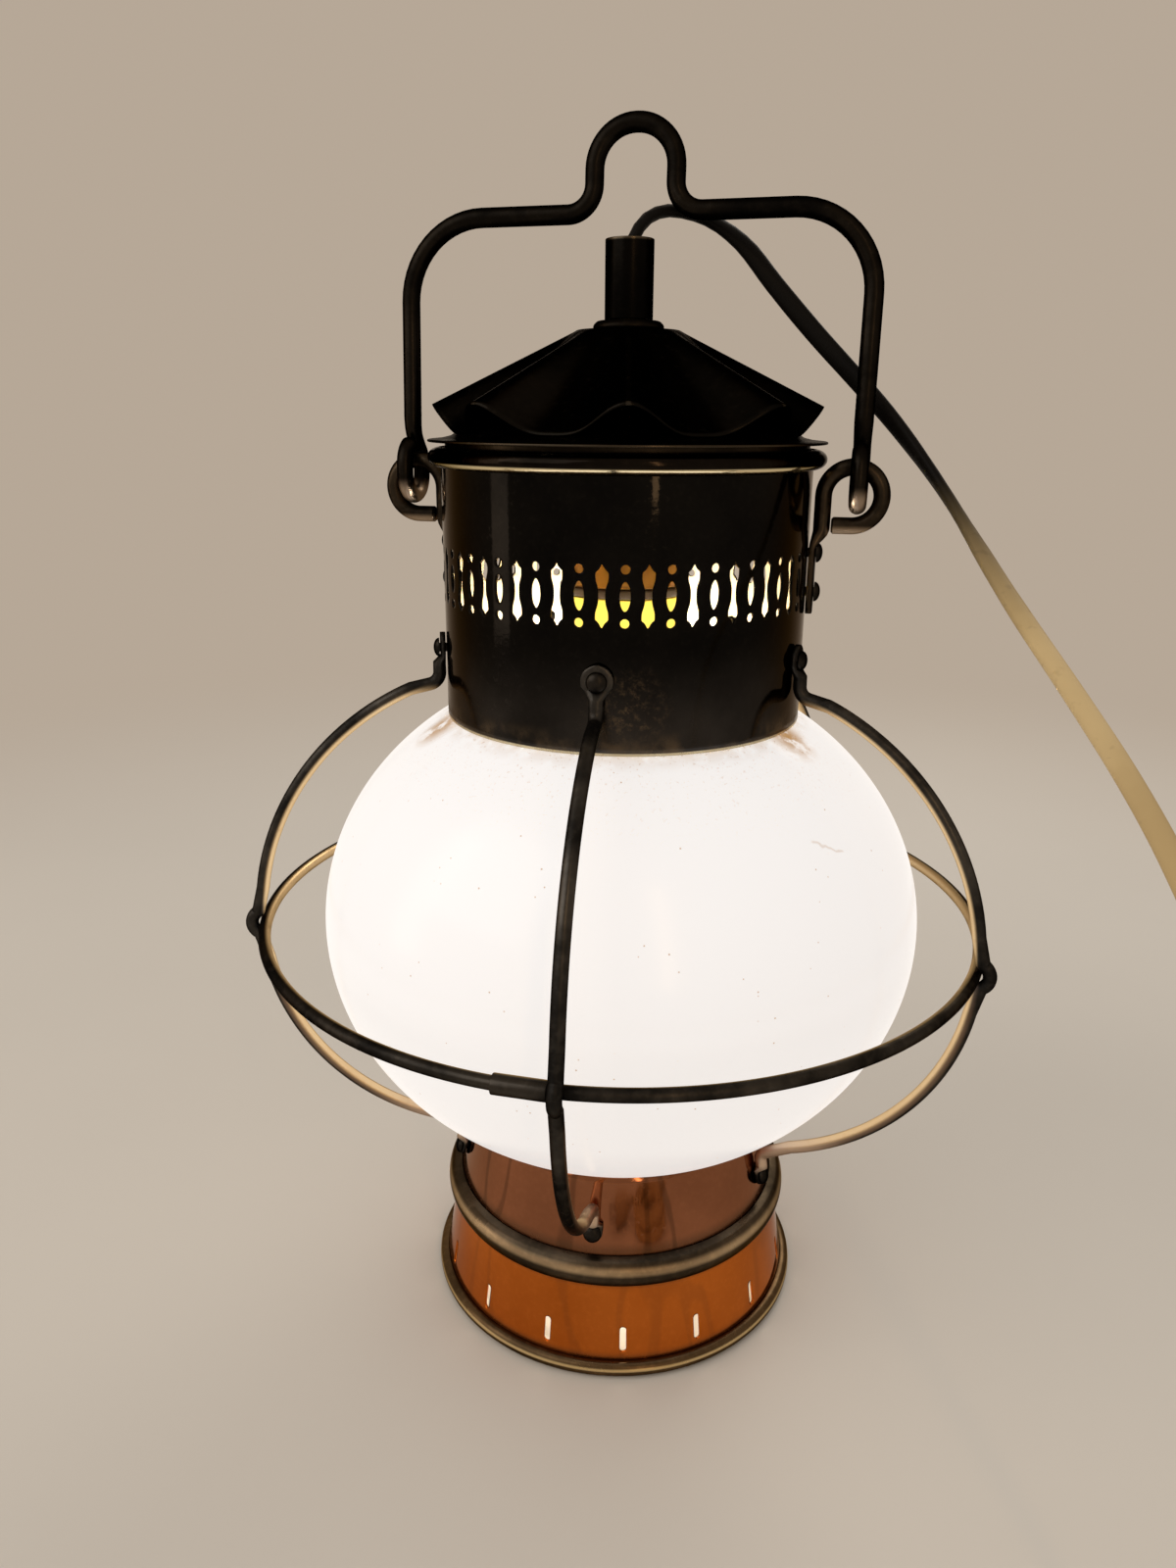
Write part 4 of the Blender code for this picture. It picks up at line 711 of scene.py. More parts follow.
globe_finish = Finish("opal_glass", ior=1.5, specular_ior_level=0.24, emission_strength=0.63)
globe_height = globe_finish.along("Z")
dust_cloud = globe_finish.noise(46.0, 5.0)
speck_cells = globe_finish.node(
    "ShaderNodeTexVoronoi", {"feature": "F1"}, {"Vector": globe_finish.place(), "Scale": 230.0}, "Distance"
)
specks = speck_cells.under(0.050, 0.080) * dust_cloud.over(0.48, 0.54)
first_spot, second_spot = (away_from(globe_finish, place).under(*spot_reach) for place in dust_places)
drum_dust = first_spot + second_spot + globe_height.over(*shoulder_from) * 0.30
drum_dust = drum_dust * globe_finish.noise(190.0, 6.0).over(0.32, 0.56)
fine_dust = globe_finish.noise(1100.0, 2.0).over(0.62, 0.70) * globe_height.over(*fine_from) * 0.30
scuff_line = globe_height + globe_finish.along("X") * scuff_slope + dust_cloud * scuff_sway
scuff_line = scuff_line + globe_finish.noise(240.0, 1.0) * scuff_wobble - scuff_level
scuff = abs(scuff_line).under(*scuff_width) * away_from(globe_finish, scuff_place).under(*scuff_reach)
soiled = (specks * 0.6).larger(drum_dust * 0.8 + fine_dust).larger(scuff * 0.30)
globe_finish.colour(soiled, (0.42, 0.41, 0.40), (0.20, 0.105, 0.035))
globe_finish.feed(
    emission_color=globe_finish.blend(soiled, (1.0, 0.975, 0.965), (0.52, 0.27, 0.075)),
    roughness=0.20 + 0.5 * soiled,
)
piece("glass_globe", [turned(np.vstack([outer, inner]), 240)], globe_finish, "lamp")

# The drum: a sheet of brass rolled and seamed, polished, with a dark patina painted near black as a painted
# reflection of a dark room, and a band of pierced vases and of ovals between dots. The two columns under the ears
# are left plain. Haze and brown dust lie low on it, round a rivet.
drum_radius = 0.0570
drum_bottom_z, drum_top_z, band_z = 0.2134479, 0.2954479, 0.2584479
column_count = 56
ear_columns = [14, 42]
column_half = math.pi * drum_radius / column_count
oval_level, band_level = 0.00505, 0.0096
vase_size, oval_size, dot_size = (0.00182, 0.00865), (0.00150, 0.00410), (0.00128, 0.00130)
vase_shares = np.array(
    [(0.53, 0.00), (0.53, 0.08), (0.56, 0.18), (0.64, 0.28), (0.78, 0.38),
     (0.92, 0.47), (0.99, 0.57), (1.00, 0.68), (0.99, 0.75), (0.84, 0.775),
     (0.62, 0.81), (0.42, 0.86), (0.26, 0.92), (0.14, 0.97), (0.00, 1.00)]
)
oval_shares = np.array(
    [(1.00, 0.00), (0.98, 0.20), (0.90, 0.42), (0.76, 0.62),
     (0.56, 0.80), (0.36, 0.92), (0.18, 0.98), (0.00, 1.00)]
)
mid_levels = np.linspace(0.0, oval_level, 13)
dot_levels = np.linspace(oval_level, band_level, 9)
dot_middle = (oval_level + band_level) / 2
vase_levels = np.concatenate([mid_levels, dot_levels[1:]])
top_steps = 4
vase_cell = pierced(vase_shares * vase_size, border(column_half, vase_levels, top_steps))
oval_cell = pierced(oval_shares * oval_size, border(column_half, mid_levels, top_steps))
dot_outline = arc_of((0.0, 0.0), dot_size, 0.0, math.pi / 2, 9)
dot_cell = pierced(dot_outline, border(column_half, dot_levels[4:] - dot_middle, top_steps))
column_angles = np.arange(column_count) * math.tau / column_count
vase_columns = column_angles[1::2]
oval_columns = column_angles[[i for i in range(0, column_count, 2) if i not in ear_columns]]
column_lines = np.linspace(-column_half, column_half, 2 * top_steps + 1)
band_rows = np.concatenate([-vase_levels[:0:-1], vase_levels])
rows_below = np.linspace(drum_bottom_z - band_z, -band_level, 16)
rows_above = np.linspace(band_level, drum_top_z - band_z, 14)


def drum_side(z):
    """The drum is straight: one radius at every height."""
    return np.full_like(z, drum_radius)


drum_parts = [
    rolled(flat, angles, middle, drum_side, drum_radius)
    for flat, angles, middle in (
        (vase_cell, vase_columns, band_z),
        (oval_cell, oval_columns, band_z),
        (dot_cell, oval_columns, band_z + dot_middle),
        (dot_cell, oval_columns, band_z - dot_middle),
        (flat_grid(column_lines, band_rows), column_angles[ear_columns], band_z),
        (flat_grid(column_lines, rows_below), column_angles, band_z),
        (flat_grid(column_lines, rows_above), column_angles, band_z),
    )
]
rivet_place = (0.0138, -0.0553, 0.2265)
dust_from, haze_from, drum_edge_highlight = (0.2150, 0.2215), (0.2150, 0.2470), (0.2139, 0.2144)
drum_finish = brass(
    "drum_brass", (0.0048, 0.0046, 0.0043), (0.0125, 0.0112, 0.0098), 0.05, 0.06, cloud_scale=26.0,
    speck_scale=640.0, relief=0.00001, edge=0.6,
)
drum_height = drum_finish.along("Z")
low_dust = drum_height.under(*dust_from) * drum_finish.noise(90.0, 5.0).over(0.42, 0.66) * 0.7
rivet_dust = away_from(drum_finish, rivet_place).under(0.002, 0.016)
rivet_dust = rivet_dust * drum_finish.noise(420.0, 8.0, roughness=0.7).over(0.48, 0.70) * 0.7
dust = low_dust.larger(rivet_dust)
haze = drum_height.under(*haze_from) * (0.25 + 0.9 * drum_finish.noise(32.0, 4.0).over(0.25, 0.8))
drum_finish.tint(haze * 0.6, (0.062, 0.056, 0.052))
drum_finish.tint(dust * 0.55, (0.21, 0.15, 0.09))
# Painted highlight: the drum's lower edge is tinted pale gold.
drum_finish.tint(drum_height.under(*drum_edge_highlight), (0.90, 0.78, 0.52))
drum_finish.feed(roughness=drum_finish.gloss + 0.35 * dust + 0.12 * haze)
inside_finish = brass("inside_brass", (0.80, 0.70, 0.52), (0.95, 0.88, 0.72), 0.45, edge=1.0)
piece("drum", drum_parts, drum_finish, "lamp", wall=sheet, inside=inside_finish)

# The drum's bead: a half-round brass strip soldered round it under the roof's lip, painted near black as a
# painted shade under the lip, with a painted highlight in gold along its lower edge and a fainter one on top.
drum_bead_z, drum_bead_half = 0.2929479, 0.0029
lower_edge_highlight, top_edge_highlight = (0.2914, 0.2920), (0.2950, 0.2953)
bow = arc_of((drum_radius, drum_bead_z), (bead_depth, drum_bead_half), math.radians(74), math.radians(-74), 20)
bead_back = [(drum_radius + gap, drum_bead_z - drum_bead_half), (drum_radius + gap, drum_bead_z + drum_bead_half)]
drum_bead_finish = brass("drum_bead", (0.006, 0.005, 0.004), (0.016, 0.012, 0.009), 0.10, 0.08)
drum_bead_height = drum_bead_finish.along("Z")
edge_highlights = drum_bead_height.under(*lower_edge_highlight) + drum_bead_height.over(*top_edge_highlight) * 0.3
drum_bead_finish.tint(edge_highlights, (1.0, 0.85, 0.54))
piece("drum_bead", [turned(np.vstack([bow, bead_back]))], drum_bead_finish, "lamp")

# The roof's collar: a ring pushed into the drum, with a lip over the bead, a neck up to the roof's valleys, and a
# cone inside them that keeps the rain out. It is painted dark, a painted shade where it shows under the flutes, and
# the outer edge of its lip carries a faint painted highlight.
lip_radius, lip_top_z = 0.0608, 0.2980479
collar_neck, collar_top_z = 0.0536, 0.2991479
collar_outside, collar_low_z = 0.0556, 0.2859479
cone_radius, cone_top_z = 0.0400, 0.3084
fillet_width, fillet_rise, lip_highlight = 0.0010, 0.0004, (0.0604, 0.0607)
collar_profile = softened(
    [
        (cone_radius, cone_top_z), (collar_neck, collar_top_z),
        (collar_outside + fillet_width, lip_top_z + fillet_rise), (lip_radius, lip_top_z),
        (lip_radius, lip_top_z - sheet), (collar_outside, lip_top_z - sheet / 2), (collar_outside, collar_low_z),
        (collar_outside - sheet, collar_low_z), (collar_outside - sheet, lip_top_z - sheet / 2),
        (collar_neck - sheet, collar_top_z - sheet), (cone_radius, cone_top_z - sheet),
    ],
    0.0006,
)
collar_finish = brass("collar_brass", (0.009, 0.007, 0.005), (0.030, 0.022, 0.014), 0.22, 0.15)
# Painted highlight on the lip's outer edge.
collar_finish.tint(collar_finish.from_axis().over(*lip_highlight) * 0.12, (0.30, 0.24, 0.17))
piece("roof_collar", [turned(collar_profile)], collar_finish, "roof")

# The roof: a brass sheet pressed into eight flutes, from a flat crown to a scalloped edge whose valleys sit on the
# collar. It is painted near black, a painted reflection of a dark room over a dark patina. The ridges are creased,
# and a painted highlight runs along their crests.
roof_sheet = 0.0007
ridge_count, roof_turn, crease = 8, math.radians(12.86), 1.8
valley_radius, valley_z = 0.0534, 0.3001479
ridge_radius, ridge_z = 0.0596, 0.3081479
crown_radius, crown_z = 0.0156, 0.3291479
hole_radius, crown_flat, hollow_depth = 0.0053, 0.0010, 0.0011
crest_width, crest_from = (0.0002, 0.0010), (0.018, 0.026)
around = np.linspace(0.0, math.tau, ridge_count * 36, endpoint=False)
ridge_share = (0.5 + 0.5 * np.cos(ridge_count * around)) ** crease
edge_radius = valley_radius + (ridge_radius - valley_radius) * ridge_share
edge_z = valley_z + (ridge_z - valley_z) * ridge_share
slope_share = np.linspace(0.0, 1.0, 30)[:, None]
hollow = hollow_depth * np.sin(math.pi * slope_share) * (1 - ridge_share[None]) * slope_share
crown_rows = np.linspace(hole_radius, crown_radius - crown_flat, 4)[:, None] + 0 * around[None]
roof_radii = np.vstack([crown_rows, crown_radius + slope_share * (edge_radius - crown_radius)])
roof_heights = np.vstack([0 * crown_rows + crown_z, crown_z + slope_share * (edge_z - crown_z) - hollow])
roof_points = round_axis(roof_radii, around[None] + roof_turn, roof_heights).reshape(-1, 3)
roof_faces = lattice(*roof_radii.shape, close_columns=True)
roof_finish = brass(
    "roof_brass", (0.0045, 0.0042, 0.0036), (0.012, 0.0100, 0.0078), 0.20, 0.14, cloud_scale=30.0,
    speck_scale=380.0, relief=0.00002,
)
ridge_step = math.tau / ridge_count
roof_x, roof_y = roof_finish.along("X"), roof_finish.along("Y")
bearing = roof_x.maths("ARCTAN2", roof_x, 0.0 - roof_y) - roof_turn + (math.tau + ridge_step / 2)
roof_out = roof_finish.from_axis()
from_ridge = abs(bearing % ridge_step - ridge_step / 2) * roof_out
crest_highlight = from_ridge.under(*crest_width) * roof_out.over(*crest_from)
crest_highlight = crest_highlight * roof_finish.noise(60.0).over(0.15, 0.60)
# Painted highlight along the ridges' crests.
roof_finish.tint(crest_highlight * 0.5, (0.075, 0.065, 0.052)).feed(roughness=roof_finish.gloss - 0.08 * crest_highlight)
piece("roof", [(roof_points, roof_faces)], roof_finish, "roof", wall=roof_sheet, sharp=50.0)

# The crown: a turned brass collar on the roof, and on it the tube that the cord leaves by, pressed in, with a
# rubber bush in its mouth. Collar and tube are painted near black, a painted reflection of a dark room over a dark
# patina, and the tube is lighter along its top edge.
apex_z, apex_radius, apex_height = 0.3294479, 0.0106, 0.0024
tube_z, tube_top_z, tube_radius, tube_inside = 0.3321479, 0.3541479, 0.0072, 0.0062
tube_top_band = (0.3532, 0.3540)
bush_radius, bush_bore, bush_low_z, bush_top_z = 0.0059, 0.0032, 0.3412979, 0.3482979
apex_profile = softened(
    [(hole_radius, apex_z), (apex_radius, apex_z), (apex_radius, apex_z + apex_height / 2),
     (apex_radius - apex_height / 2, apex_z + apex_height), (hole_radius, apex_z + apex_height)], 0.0006,
)
tube_profile = upright_block(tube_inside, tube_radius, tube_z, tube_top_z, 0.0003)
bush_profile = upright_block(bush_bore, bush_radius, bush_low_z, bush_top_z, 0.0006)
apex_finish = brass("apex_brass", (0.008, 0.0065, 0.005), (0.024, 0.018, 0.012), 0.28, 0.15)
tube_finish = brass("tube_brass", (0.0022, 0.0020, 0.0018), (0.006, 0.0050, 0.0040), 0.24, 0.14, edge=0.06)
tube_finish.tint(tube_finish.along("Z").over(*tube_top_band) * 0.5, (0.20, 0.16, 0.11))
bush_finish = mottled("rubber_bush", (0.020, 0.019, 0.018), (0.045, 0.042, 0.038), 500.0, roughness=0.6)
bush_finish.bump(bush_finish.cloud, 0.00006)
piece("apex_collar", [turned(apex_profile, 96)], apex_finish, "roof")
piece("cord_tube", [turned(tube_profile, 96)], tube_finish, "roof")
piece("tube_bush", [turned(bush_profile, 64)], bush_finish, "roof")

# The lampholder, seen through the pierced band: a brown moulded cap with a domed top, screwed on to a cream skirt
# round the screw shell, and a dark ring between them. The skirt is painted strong yellow, a painted bulb light.
holder_radius, holder_wall = 0.0200, 0.0020
cap_z, cap_top_z, cap_bore = 0.2551479, 0.2901479, 0.0053
dome_narrowing, dome_power = 0.60, 2.6
ring_z, ring_top_z, ring_outside, ring_inside = 0.2520479, 0.2548479, 0.0206, 0.0180
shell_z, shell_top_z, shell_ledge = 0.2227479, 0.2517479, 0.0155
dome = np.linspace(0.0, 1.0, 24)
dome_width = 1.0 - dome_narrowing * dome**dome_power
cap_height = cap_top_z - cap_z
dome_outside, dome_inside = (
    np.stack([(holder_radius - wall) * dome_width, cap_z + (cap_height - wall) * dome], axis=1)
    for wall in (0.0, holder_wall)
)
cap_bore_line = [(cap_bore, cap_top_z), (cap_bore, cap_top_z - holder_wall)]
cap_profile = np.vstack([dome_outside, cap_bore_line, dome_inside[::-1]])
ring_profile = upright_block(ring_inside, ring_outside, ring_z, ring_top_z, 0.0007)
shell_profile = softened(
    [
        (holder_radius, shell_top_z), (holder_radius, shell_z), (holder_radius - holder_wall, shell_z),
        (holder_radius - holder_wall, shell_top_z - holder_wall / 2), (shell_ledge, shell_top_z - holder_wall / 2),
        (shell_ledge, shell_top_z),
    ],
    0.0005,
)
cap_finish = mottled(
    "brown_moulding", (0.165, 0.075, 0.006), (0.080, 0.035, 0.003), 90.0, 4.0, (1.0, 1.0, 0.3), rough=0.22,
    specular_ior_level=0.12,
)
dark_ring_finish = mottled(
    "dark_ring", (0.016, 0.010, 0.006), (0.034, 0.019, 0.010), 150.0, roughness=0.35, specular_ior_level=0.15
)
# The skirt's strong yellow is a painted bulb light on a cream moulding.
lit_cream_finish = mottled("lit_cream_moulding", (0.93, 0.80, 0.14), (0.82, 0.66, 0.10), 70.0, 4.0, rough=0.32)
piece("holder_cap", [turned(cap_profile, 96)], cap_finish, "roof")
piece("holder_ring", [turned(ring_profile, 96)], dark_ring_finish, "roof")
piece("holder_shell", [turned(shell_profile, 96)], lit_cream_finish, "roof")

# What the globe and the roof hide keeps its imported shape: the globe's seat, the threaded tube and its nuts, the
# lampholder's inside, the lead down the middle, and the bulb, which gives the lamp's light.
seat_finish = brass("seat_brass", (0.20, 0.14, 0.08), (0.42, 0.32, 0.18), 0.35)
fitting_finish = brass("fitting_brass", (0.05, 0.036, 0.022), (0.14, 0.10, 0.06), 0.35)
porcelain_finish = mottled("porcelain", (0.86, 0.84, 0.79), (0.76, 0.73, 0.67), 120.0, roughness=0.2)
shell_finish = mottled(
    "plated_shell", (0.66, 0.63, 0.58), (0.50, 0.47, 0.42), 200.0, metallic=1.0, roughness=0.3
)
bulb_finish = mottled(
    "bulb_glass", (0.90, 0.88, 0.84), (0.84, 0.82, 0.78), 30.0, roughness=0.25, emission_strength=40.0
)
bulb_finish.feed(emission_color=bulb_finish.blend(bulb_finish.cloud, (1.0, 0.93, 0.80), (1.0, 0.90, 0.75)))
hidden = {
    "globe_seat": seat_finish, "nipple": fitting_finish, "roof_nut": fitting_finish, "holder_nut": fitting_finish,
    "contact_block": porcelain_finish, "screw_shell": shell_finish, "bulb_cap": shell_finish,
    "bulb_glass": bulb_finish, "inner_lead": cord_finish,
}
for name, finish in hidden.items():
    nodes[name].data.materials.clear()
    nodes[name].data.materials.append(finish.material)

# The ears: a brass rod forged flat at its lower end, riveted to the drum's side, and bent over into a closed loop.
# The dark patina carries a painted highlight on the bottom of the loop, where the bail swings.
ear_x, ear_z, ear_loop, ear_rod = 0.0690, 0.2826479, 0.0085, 0.0025
strap_low_z, strap_x, strap_half, strap_thick, strap_squareness = 0.2476479, 0.0583, 0.0043, 0.0010, 5.0
stem_low_z, stem_top_z, stem_x = 0.2530, 0.2826, 0.0605
forge_z, forge_length = 0.2672, 0.0062
loop_end_x, loop_end_z, loop_end_steps, loop_end_share = 0.0633, 0.2741479, (0.0022, 0.0006, 0.0), 0.8
end_rises, end_shares = np.array([0.0, 0.0005, 0.0014, 0.0028]), (0.55, 0.70, 0.86, 0.98)
glint_below, glint_outside = (0.2726, 0.2746), (0.0615, 0.0630)
ear_up = np.concatenate([strap_low_z + end_rises, np.linspace(stem_low_z, stem_top_z, 26)])
rod_share = eased(np.clip((ear_up - forge_z) / forge_length, 0.0, 1.0))
ear_line = np.vstack(
    [
        np.stack([strap_x + (stem_x - strap_x) * rod_share, ear_up], axis=1),
        arc_of((ear_x, ear_z), ear_loop, math.pi, -math.pi / 2, 50)[1:],
        [(loop_end_x + step, loop_end_z) for step in loop_end_steps],
    ]
)
ear_path = np.insert(ear_line, 1, 0.0, axis=1)
rod_share = np.concatenate([rod_share, np.ones(len(ear_path) - len(ear_up))])
strap_wide = np.full(len(ear_path), strap_half)
strap_wide[:4] *= end_shares
ear_wide = strap_wide + (ear_rod - strap_wide) * rod_share
ear_thick = strap_thick + (ear_rod - strap_thick) * rod_share
ear_power = strap_squareness + (2.0 - strap_squareness) * rod_share
ear_wide[-1] = ear_thick[-1] = ear_rod * loop_end_share
ear_finish = brass("ear_brass", (0.010, 0.008, 0.006), (0.060, 0.045, 0.030), 0.28, 0.20, 60.0)
loop_glint = ear_finish.along("Z").under(*glint_below) * abs(ear_finish.along("X")).over(*glint_outside)
ear_finish.tint(loop_glint * 0.6, (0.50, 0.37, 0.25))
ear_points, ear_faces = carried(ear_path, (0.0, 1.0, 0.0), ear_wide, ear_thick, ear_power, 28)
piece("ear_right", [(ear_points, ear_faces)], ear_finish, "lamp")
piece("ear_left", [(ear_points * (-1.0, -1.0, 1.0), ear_faces)], ear_finish, "lamp")

# Rivets: of dark brass, with a domed head outside and a smaller one inside. The rods' eyes, their feet and the
# ears' straps each have their own set.
rivet_head, rivet_rise, shank_radius, tail_radius, tail_dome = 0.0030, 0.0018, 0.0014, 0.0022, 0.0009
rod_angles = [math.radians(5.5) + i * math.tau / 5 for i in range(5)]
ear_angles = [math.pi / 2, -math.pi / 2]
ear_rivet_heights = (0.2659479, 0.2541479)
cone_angle = 0.21411
rod_rivet_z = 0.2350479
foot_rivet_radius, foot_rivet_z = 0.05533, 0.0502
pad_thickness = 0.0017


def rivet_profile(grip):
    """A rivet's profile: a dome, down its shank by the grip, and the smaller dome that closes it."""
    head = arc_of((0.0, 0.0), (rivet_head, rivet_rise), math.pi / 2, 0.12, 10)
    shank = [(rivet_head, 0.0), (shank_radius, 0.0), (shank_radius, -grip), (tail_radius, -grip)]
    closing = arc_of((0.0, -grip), (tail_radius, tail_dome), -0.1, -math.pi / 2, 6)
    return np.vstack([head, shank, closing])


cone_out = np.array([math.cos(cone_angle), math.sin(cone_angle)])
foot_head = (foot_rivet_radius, foot_rivet_z) + cone_out * (2 * gap + pad_thickness)
rivet_sets = {
    "rod_rivet": (
        [facing(a, drum_radius + 2 * gap + pad_thickness, rod_rivet_z) for a in rod_angles],
        sheet + 3 * gap + pad_thickness,
    ),
    "ear_rivet": (
        [facing(a, strap_x + strap_thick + gap, z) for a in ear_angles for z in ear_rivet_heights],
        sheet + 3 * gap + 2 * strap_thick,
    ),
    "foot_rivet": (
        [facing(a, *foot_head, cone_angle) for a in rod_angles],
        2 * sheet + 6 * gap + pad_thickness,
    ),
}
rivet_finish = brass("rivet_brass", (0.009, 0.0085, 0.008), (0.042, 0.036, 0.030), 0.28, 0.2, 120.0)
for kind, (places, grip) in rivet_sets.items():
    slot = "aged_brass" if kind == "ear_rivet" else "cage_brass"
    for number, place in enumerate(places, 1):
        rivet = turned(rivet_profile(grip), 28, closed=False, matrix=place)
        piece(f"{kind}_{number}", [rivet], rivet_finish, "lamp")

# The bail: one bent rod with a raised crown. Each end is bent round into an eye that swings in its ear. It is
# painted nearly black, a painted reflection of a dark room over a dark patina, and its eyes carry a painted
# highlight low down.
bail_x, pivot_z = 0.0706, 0.290996
bail_rod, eye_rod = 0.0028, 0.0026
bail_foot, bail_shoulder, bail_corner = 0.0130, 0.0711, 0.0235
crown_half, bail_crown, crown_foot = 0.0122, 0.0951, 0.0080
eye_radius, eye_top, eye_low = 0.0069, 0.0055, -0.010886
eye_neck_points, eye_step, eye_end_share = [(0.0003, 0.0102), (0.0013, 0.0076)], 0.0009, 0.86
turn_length, swell_length, crown_share = 0.012, 0.006, 0.98
bail_lean, eye_glint = math.radians(4), (0.2812, 0.2860)


def rounded(corners, radii, steps=14):
    """A chain of straight runs with each inner corner turned into an arc of its own radius.

    An arc's middle lies on its corner's bisector, at the radius over the sine of half the angle. Its points are
    its two ends, each times the sine of the turn that is left to it, over the sine of the whole turn.
    """
    chain = [np.array(p, float) for p in corners]
    result = [chain[0]]
    for before, corner, after, radius in zip(chain, chain[1:], chain[2:], radii):
        back, ahead = unit(before - corner), unit(after - corner)
        half = math.acos(float(back @ ahead)) / 2
        middle = corner + unit(back + ahead) * radius / math.sin(half)
        first, last = (corner + d * radius / math.tan(half) - middle for d in (back, ahead))
        turn = math.pi - 2 * half
        share = np.linspace(0.0, 1.0, steps + 1)[:, None]
        arc = first * np.sin((1 - share) * turn) + last * np.sin(share * turn)
        result.extend(middle + arc / math.sin(turn))
    result.append(chain[-1])
    return np.array(result)


half_corners = [
    (bail_x, 0.0, bail_foot), (bail_x, 0.0, bail_shoulder), (crown_half, 0.0, bail_shoulder),
    (crown_half, 0.0, bail_crown),
]
half_radii = [bail_corner, crown_foot, crown_half * crown_share]
bow_path = rounded(half_corners + [(-x, y, z) for x, y, z in half_corners[::-1]], half_radii + half_radii[::-1])
leg = np.linspace(bow_path[0], bow_path[1], 24)
bow_path = np.vstack([leg, bow_path[2:-2], leg[::-1] * (-1.0, 1.0, 1.0)])
upper_eye, lower_eye = (0.0, eye_top - eye_radius), (0.0, eye_low + eye_radius)
eye_line = np.vstack(
    [
        [(0.0, bail_foot), *eye_neck_points],
        arc_of(upper_eye, eye_radius, math.radians(52), 0.0, 10),
        arc_of(lower_eye, eye_radius, math.tau, math.pi, 22),
        arc_of(upper_eye, eye_radius, math.pi, math.radians(112), 12),
    ]
)
eye_path = flowing(np.insert(eye_line, 0, bail_x, axis=1), eye_step)
bail_path = np.vstack([eye_path[:0:-1], bow_path, (eye_path * (-1.0, 1.0, 1.0))[1:]])
bail_along = lengths_along(bail_path)
past_eye = np.minimum(bail_along, bail_along[-1] - bail_along) - lengths_along(eye_path)[-1]
up_leg = np.clip(past_eye / turn_length, 0.0, 1.0)[:, None]
bail_across = (1 - up_leg) * (1.0, 0.0, 0.0) + up_leg * (0.0, 1.0, 0.0)
bail_half = eye_rod + (bail_rod - eye_rod) * np.clip(past_eye / swell_length + 1.0, 0.0, 1.0)
bail_half[[0, -1]] = eye_rod * eye_end_share
bail_place = Matrix.Translation((0.0, 0.0, pivot_z)) @ Matrix.Rotation(-bail_lean, 4, "X")
bail_finish = brass(
    "bail_brass", (0.0045, 0.0040, 0.0035), (0.018, 0.0145, 0.0110), 0.28, 0.20, cloud_scale=48.0,
    speck_scale=300.0, relief=0.00006,
)
# Painted highlight on the eyes, low down.
bail_finish.tint(bail_finish.along("Z").under(*eye_glint) * 0.7, (0.50, 0.38, 0.28))
bail_points, bail_faces = carried(bail_path, bail_across, bail_half, bail_half, 2.0, 24)
piece("bail", [(placed(bail_points, bail_place), bail_faces)], bail_finish, "bail")

# The cage's ring: a hoop of round brass wire that stands clear of the globe, with a sleeve over the joint in it.
# The globe's light catches its inner side.
cage_radius, cage_z, wire_half = 0.1195, 0.1440205, 0.0020
sleeve_half, sleeve_length, sleeve_turn = 0.0028, 0.0148, math.radians(0.9)
lit_side = (cage_radius - 0.0016, cage_radius + 0.0002)
hoop = round_axis(cage_radius, np.linspace(0.0, math.tau, 288, endpoint=False), cage_z)
cage_finish = brass(
    "cage_brass", (0.012, 0.0115, 0.011), (0.068, 0.060, 0.051), 0.30, 0.20, cloud_scale=55.0, speck_scale=360.0,
    relief=0.00005, edge=0.3,
)
cage_finish.tint(cage_finish.from_axis().under(*lit_side) * 0.7, (0.95, 0.68, 0.36))
hoop_ring = carried(hoop, (0.0, 0.0, 1.0), wire_half, wire_half, 2.0, 16, closed=True)
piece("cage_ring", [hoop_ring], cage_finish, "lamp")
sleeve_profile = upright_block(wire_half + gap, sleeve_half, -sleeve_length / 2, sleeve_length / 2, 0.0003)
sleeve_place = Matrix.Rotation(sleeve_turn, 4, "Z") @ Matrix.Translation((0.0, -cage_radius, cage_z))
sleeve_place = sleeve_place @ Matrix.Rotation(math.radians(90), 4, "Y")
piece("ring_sleeve", [turned(sleeve_profile, 40, matrix=sleeve_place)], cage_finish, "lamp")

# The cage's rods: each is forged flat at its ends and riveted to the drum and to the base. It bows out round the
# globe, and kinks outwards where it passes over the ring.
rod_half, eye_pad_half, foot_pad_half, pad_squareness = 0.0021, 0.0048, 0.00325, 3.2
rod_arc, arc_r, arc_z = 0.0846, 0.0359, 0.1440205
knee_angle, toe_angle, kink_angle = math.radians(67.09), math.radians(-68.70), 0.09456
knee_z, knee_radius, toe_radius = 0.221948, 0.0040, 0.0030
kink, wrap_angle = 0.00455, math.radians(60)
head_x, head_z = 0.0594, 0.2300
foot_start, toe_corner = (0.05691, 0.05423), (0.05588, 0.05902)
eye_shares = np.array([0.999, 0.97, 0.88, 0.72, 0.5, 0.25, 0.0, -0.3, -0.55])
eye_neck = 0.0036
pad_reach = np.array([-0.0028, -0.0014, 0.0, 0.0012, 0.0022, 0.0029, foot_pad_half])
upper_bow = arc_of((arc_r, arc_z), rod_arc, knee_angle, kink_angle, 40)
wrap = arc_of((cage_radius, cage_z), kink, wrap_angle, -wrap_angle, 13)
lower_bow = arc_of((arc_r, arc_z), rod_arc, -kink_angle, toe_angle, 40)
head_run = rounded([(head_x, head_z), (head_x, knee_z + knee_radius / 2), upper_bow[0]], [knee_radius], 8)
foot_run = rounded([lower_bow[-1], toe_corner, foot_start], [toe_radius], 8)
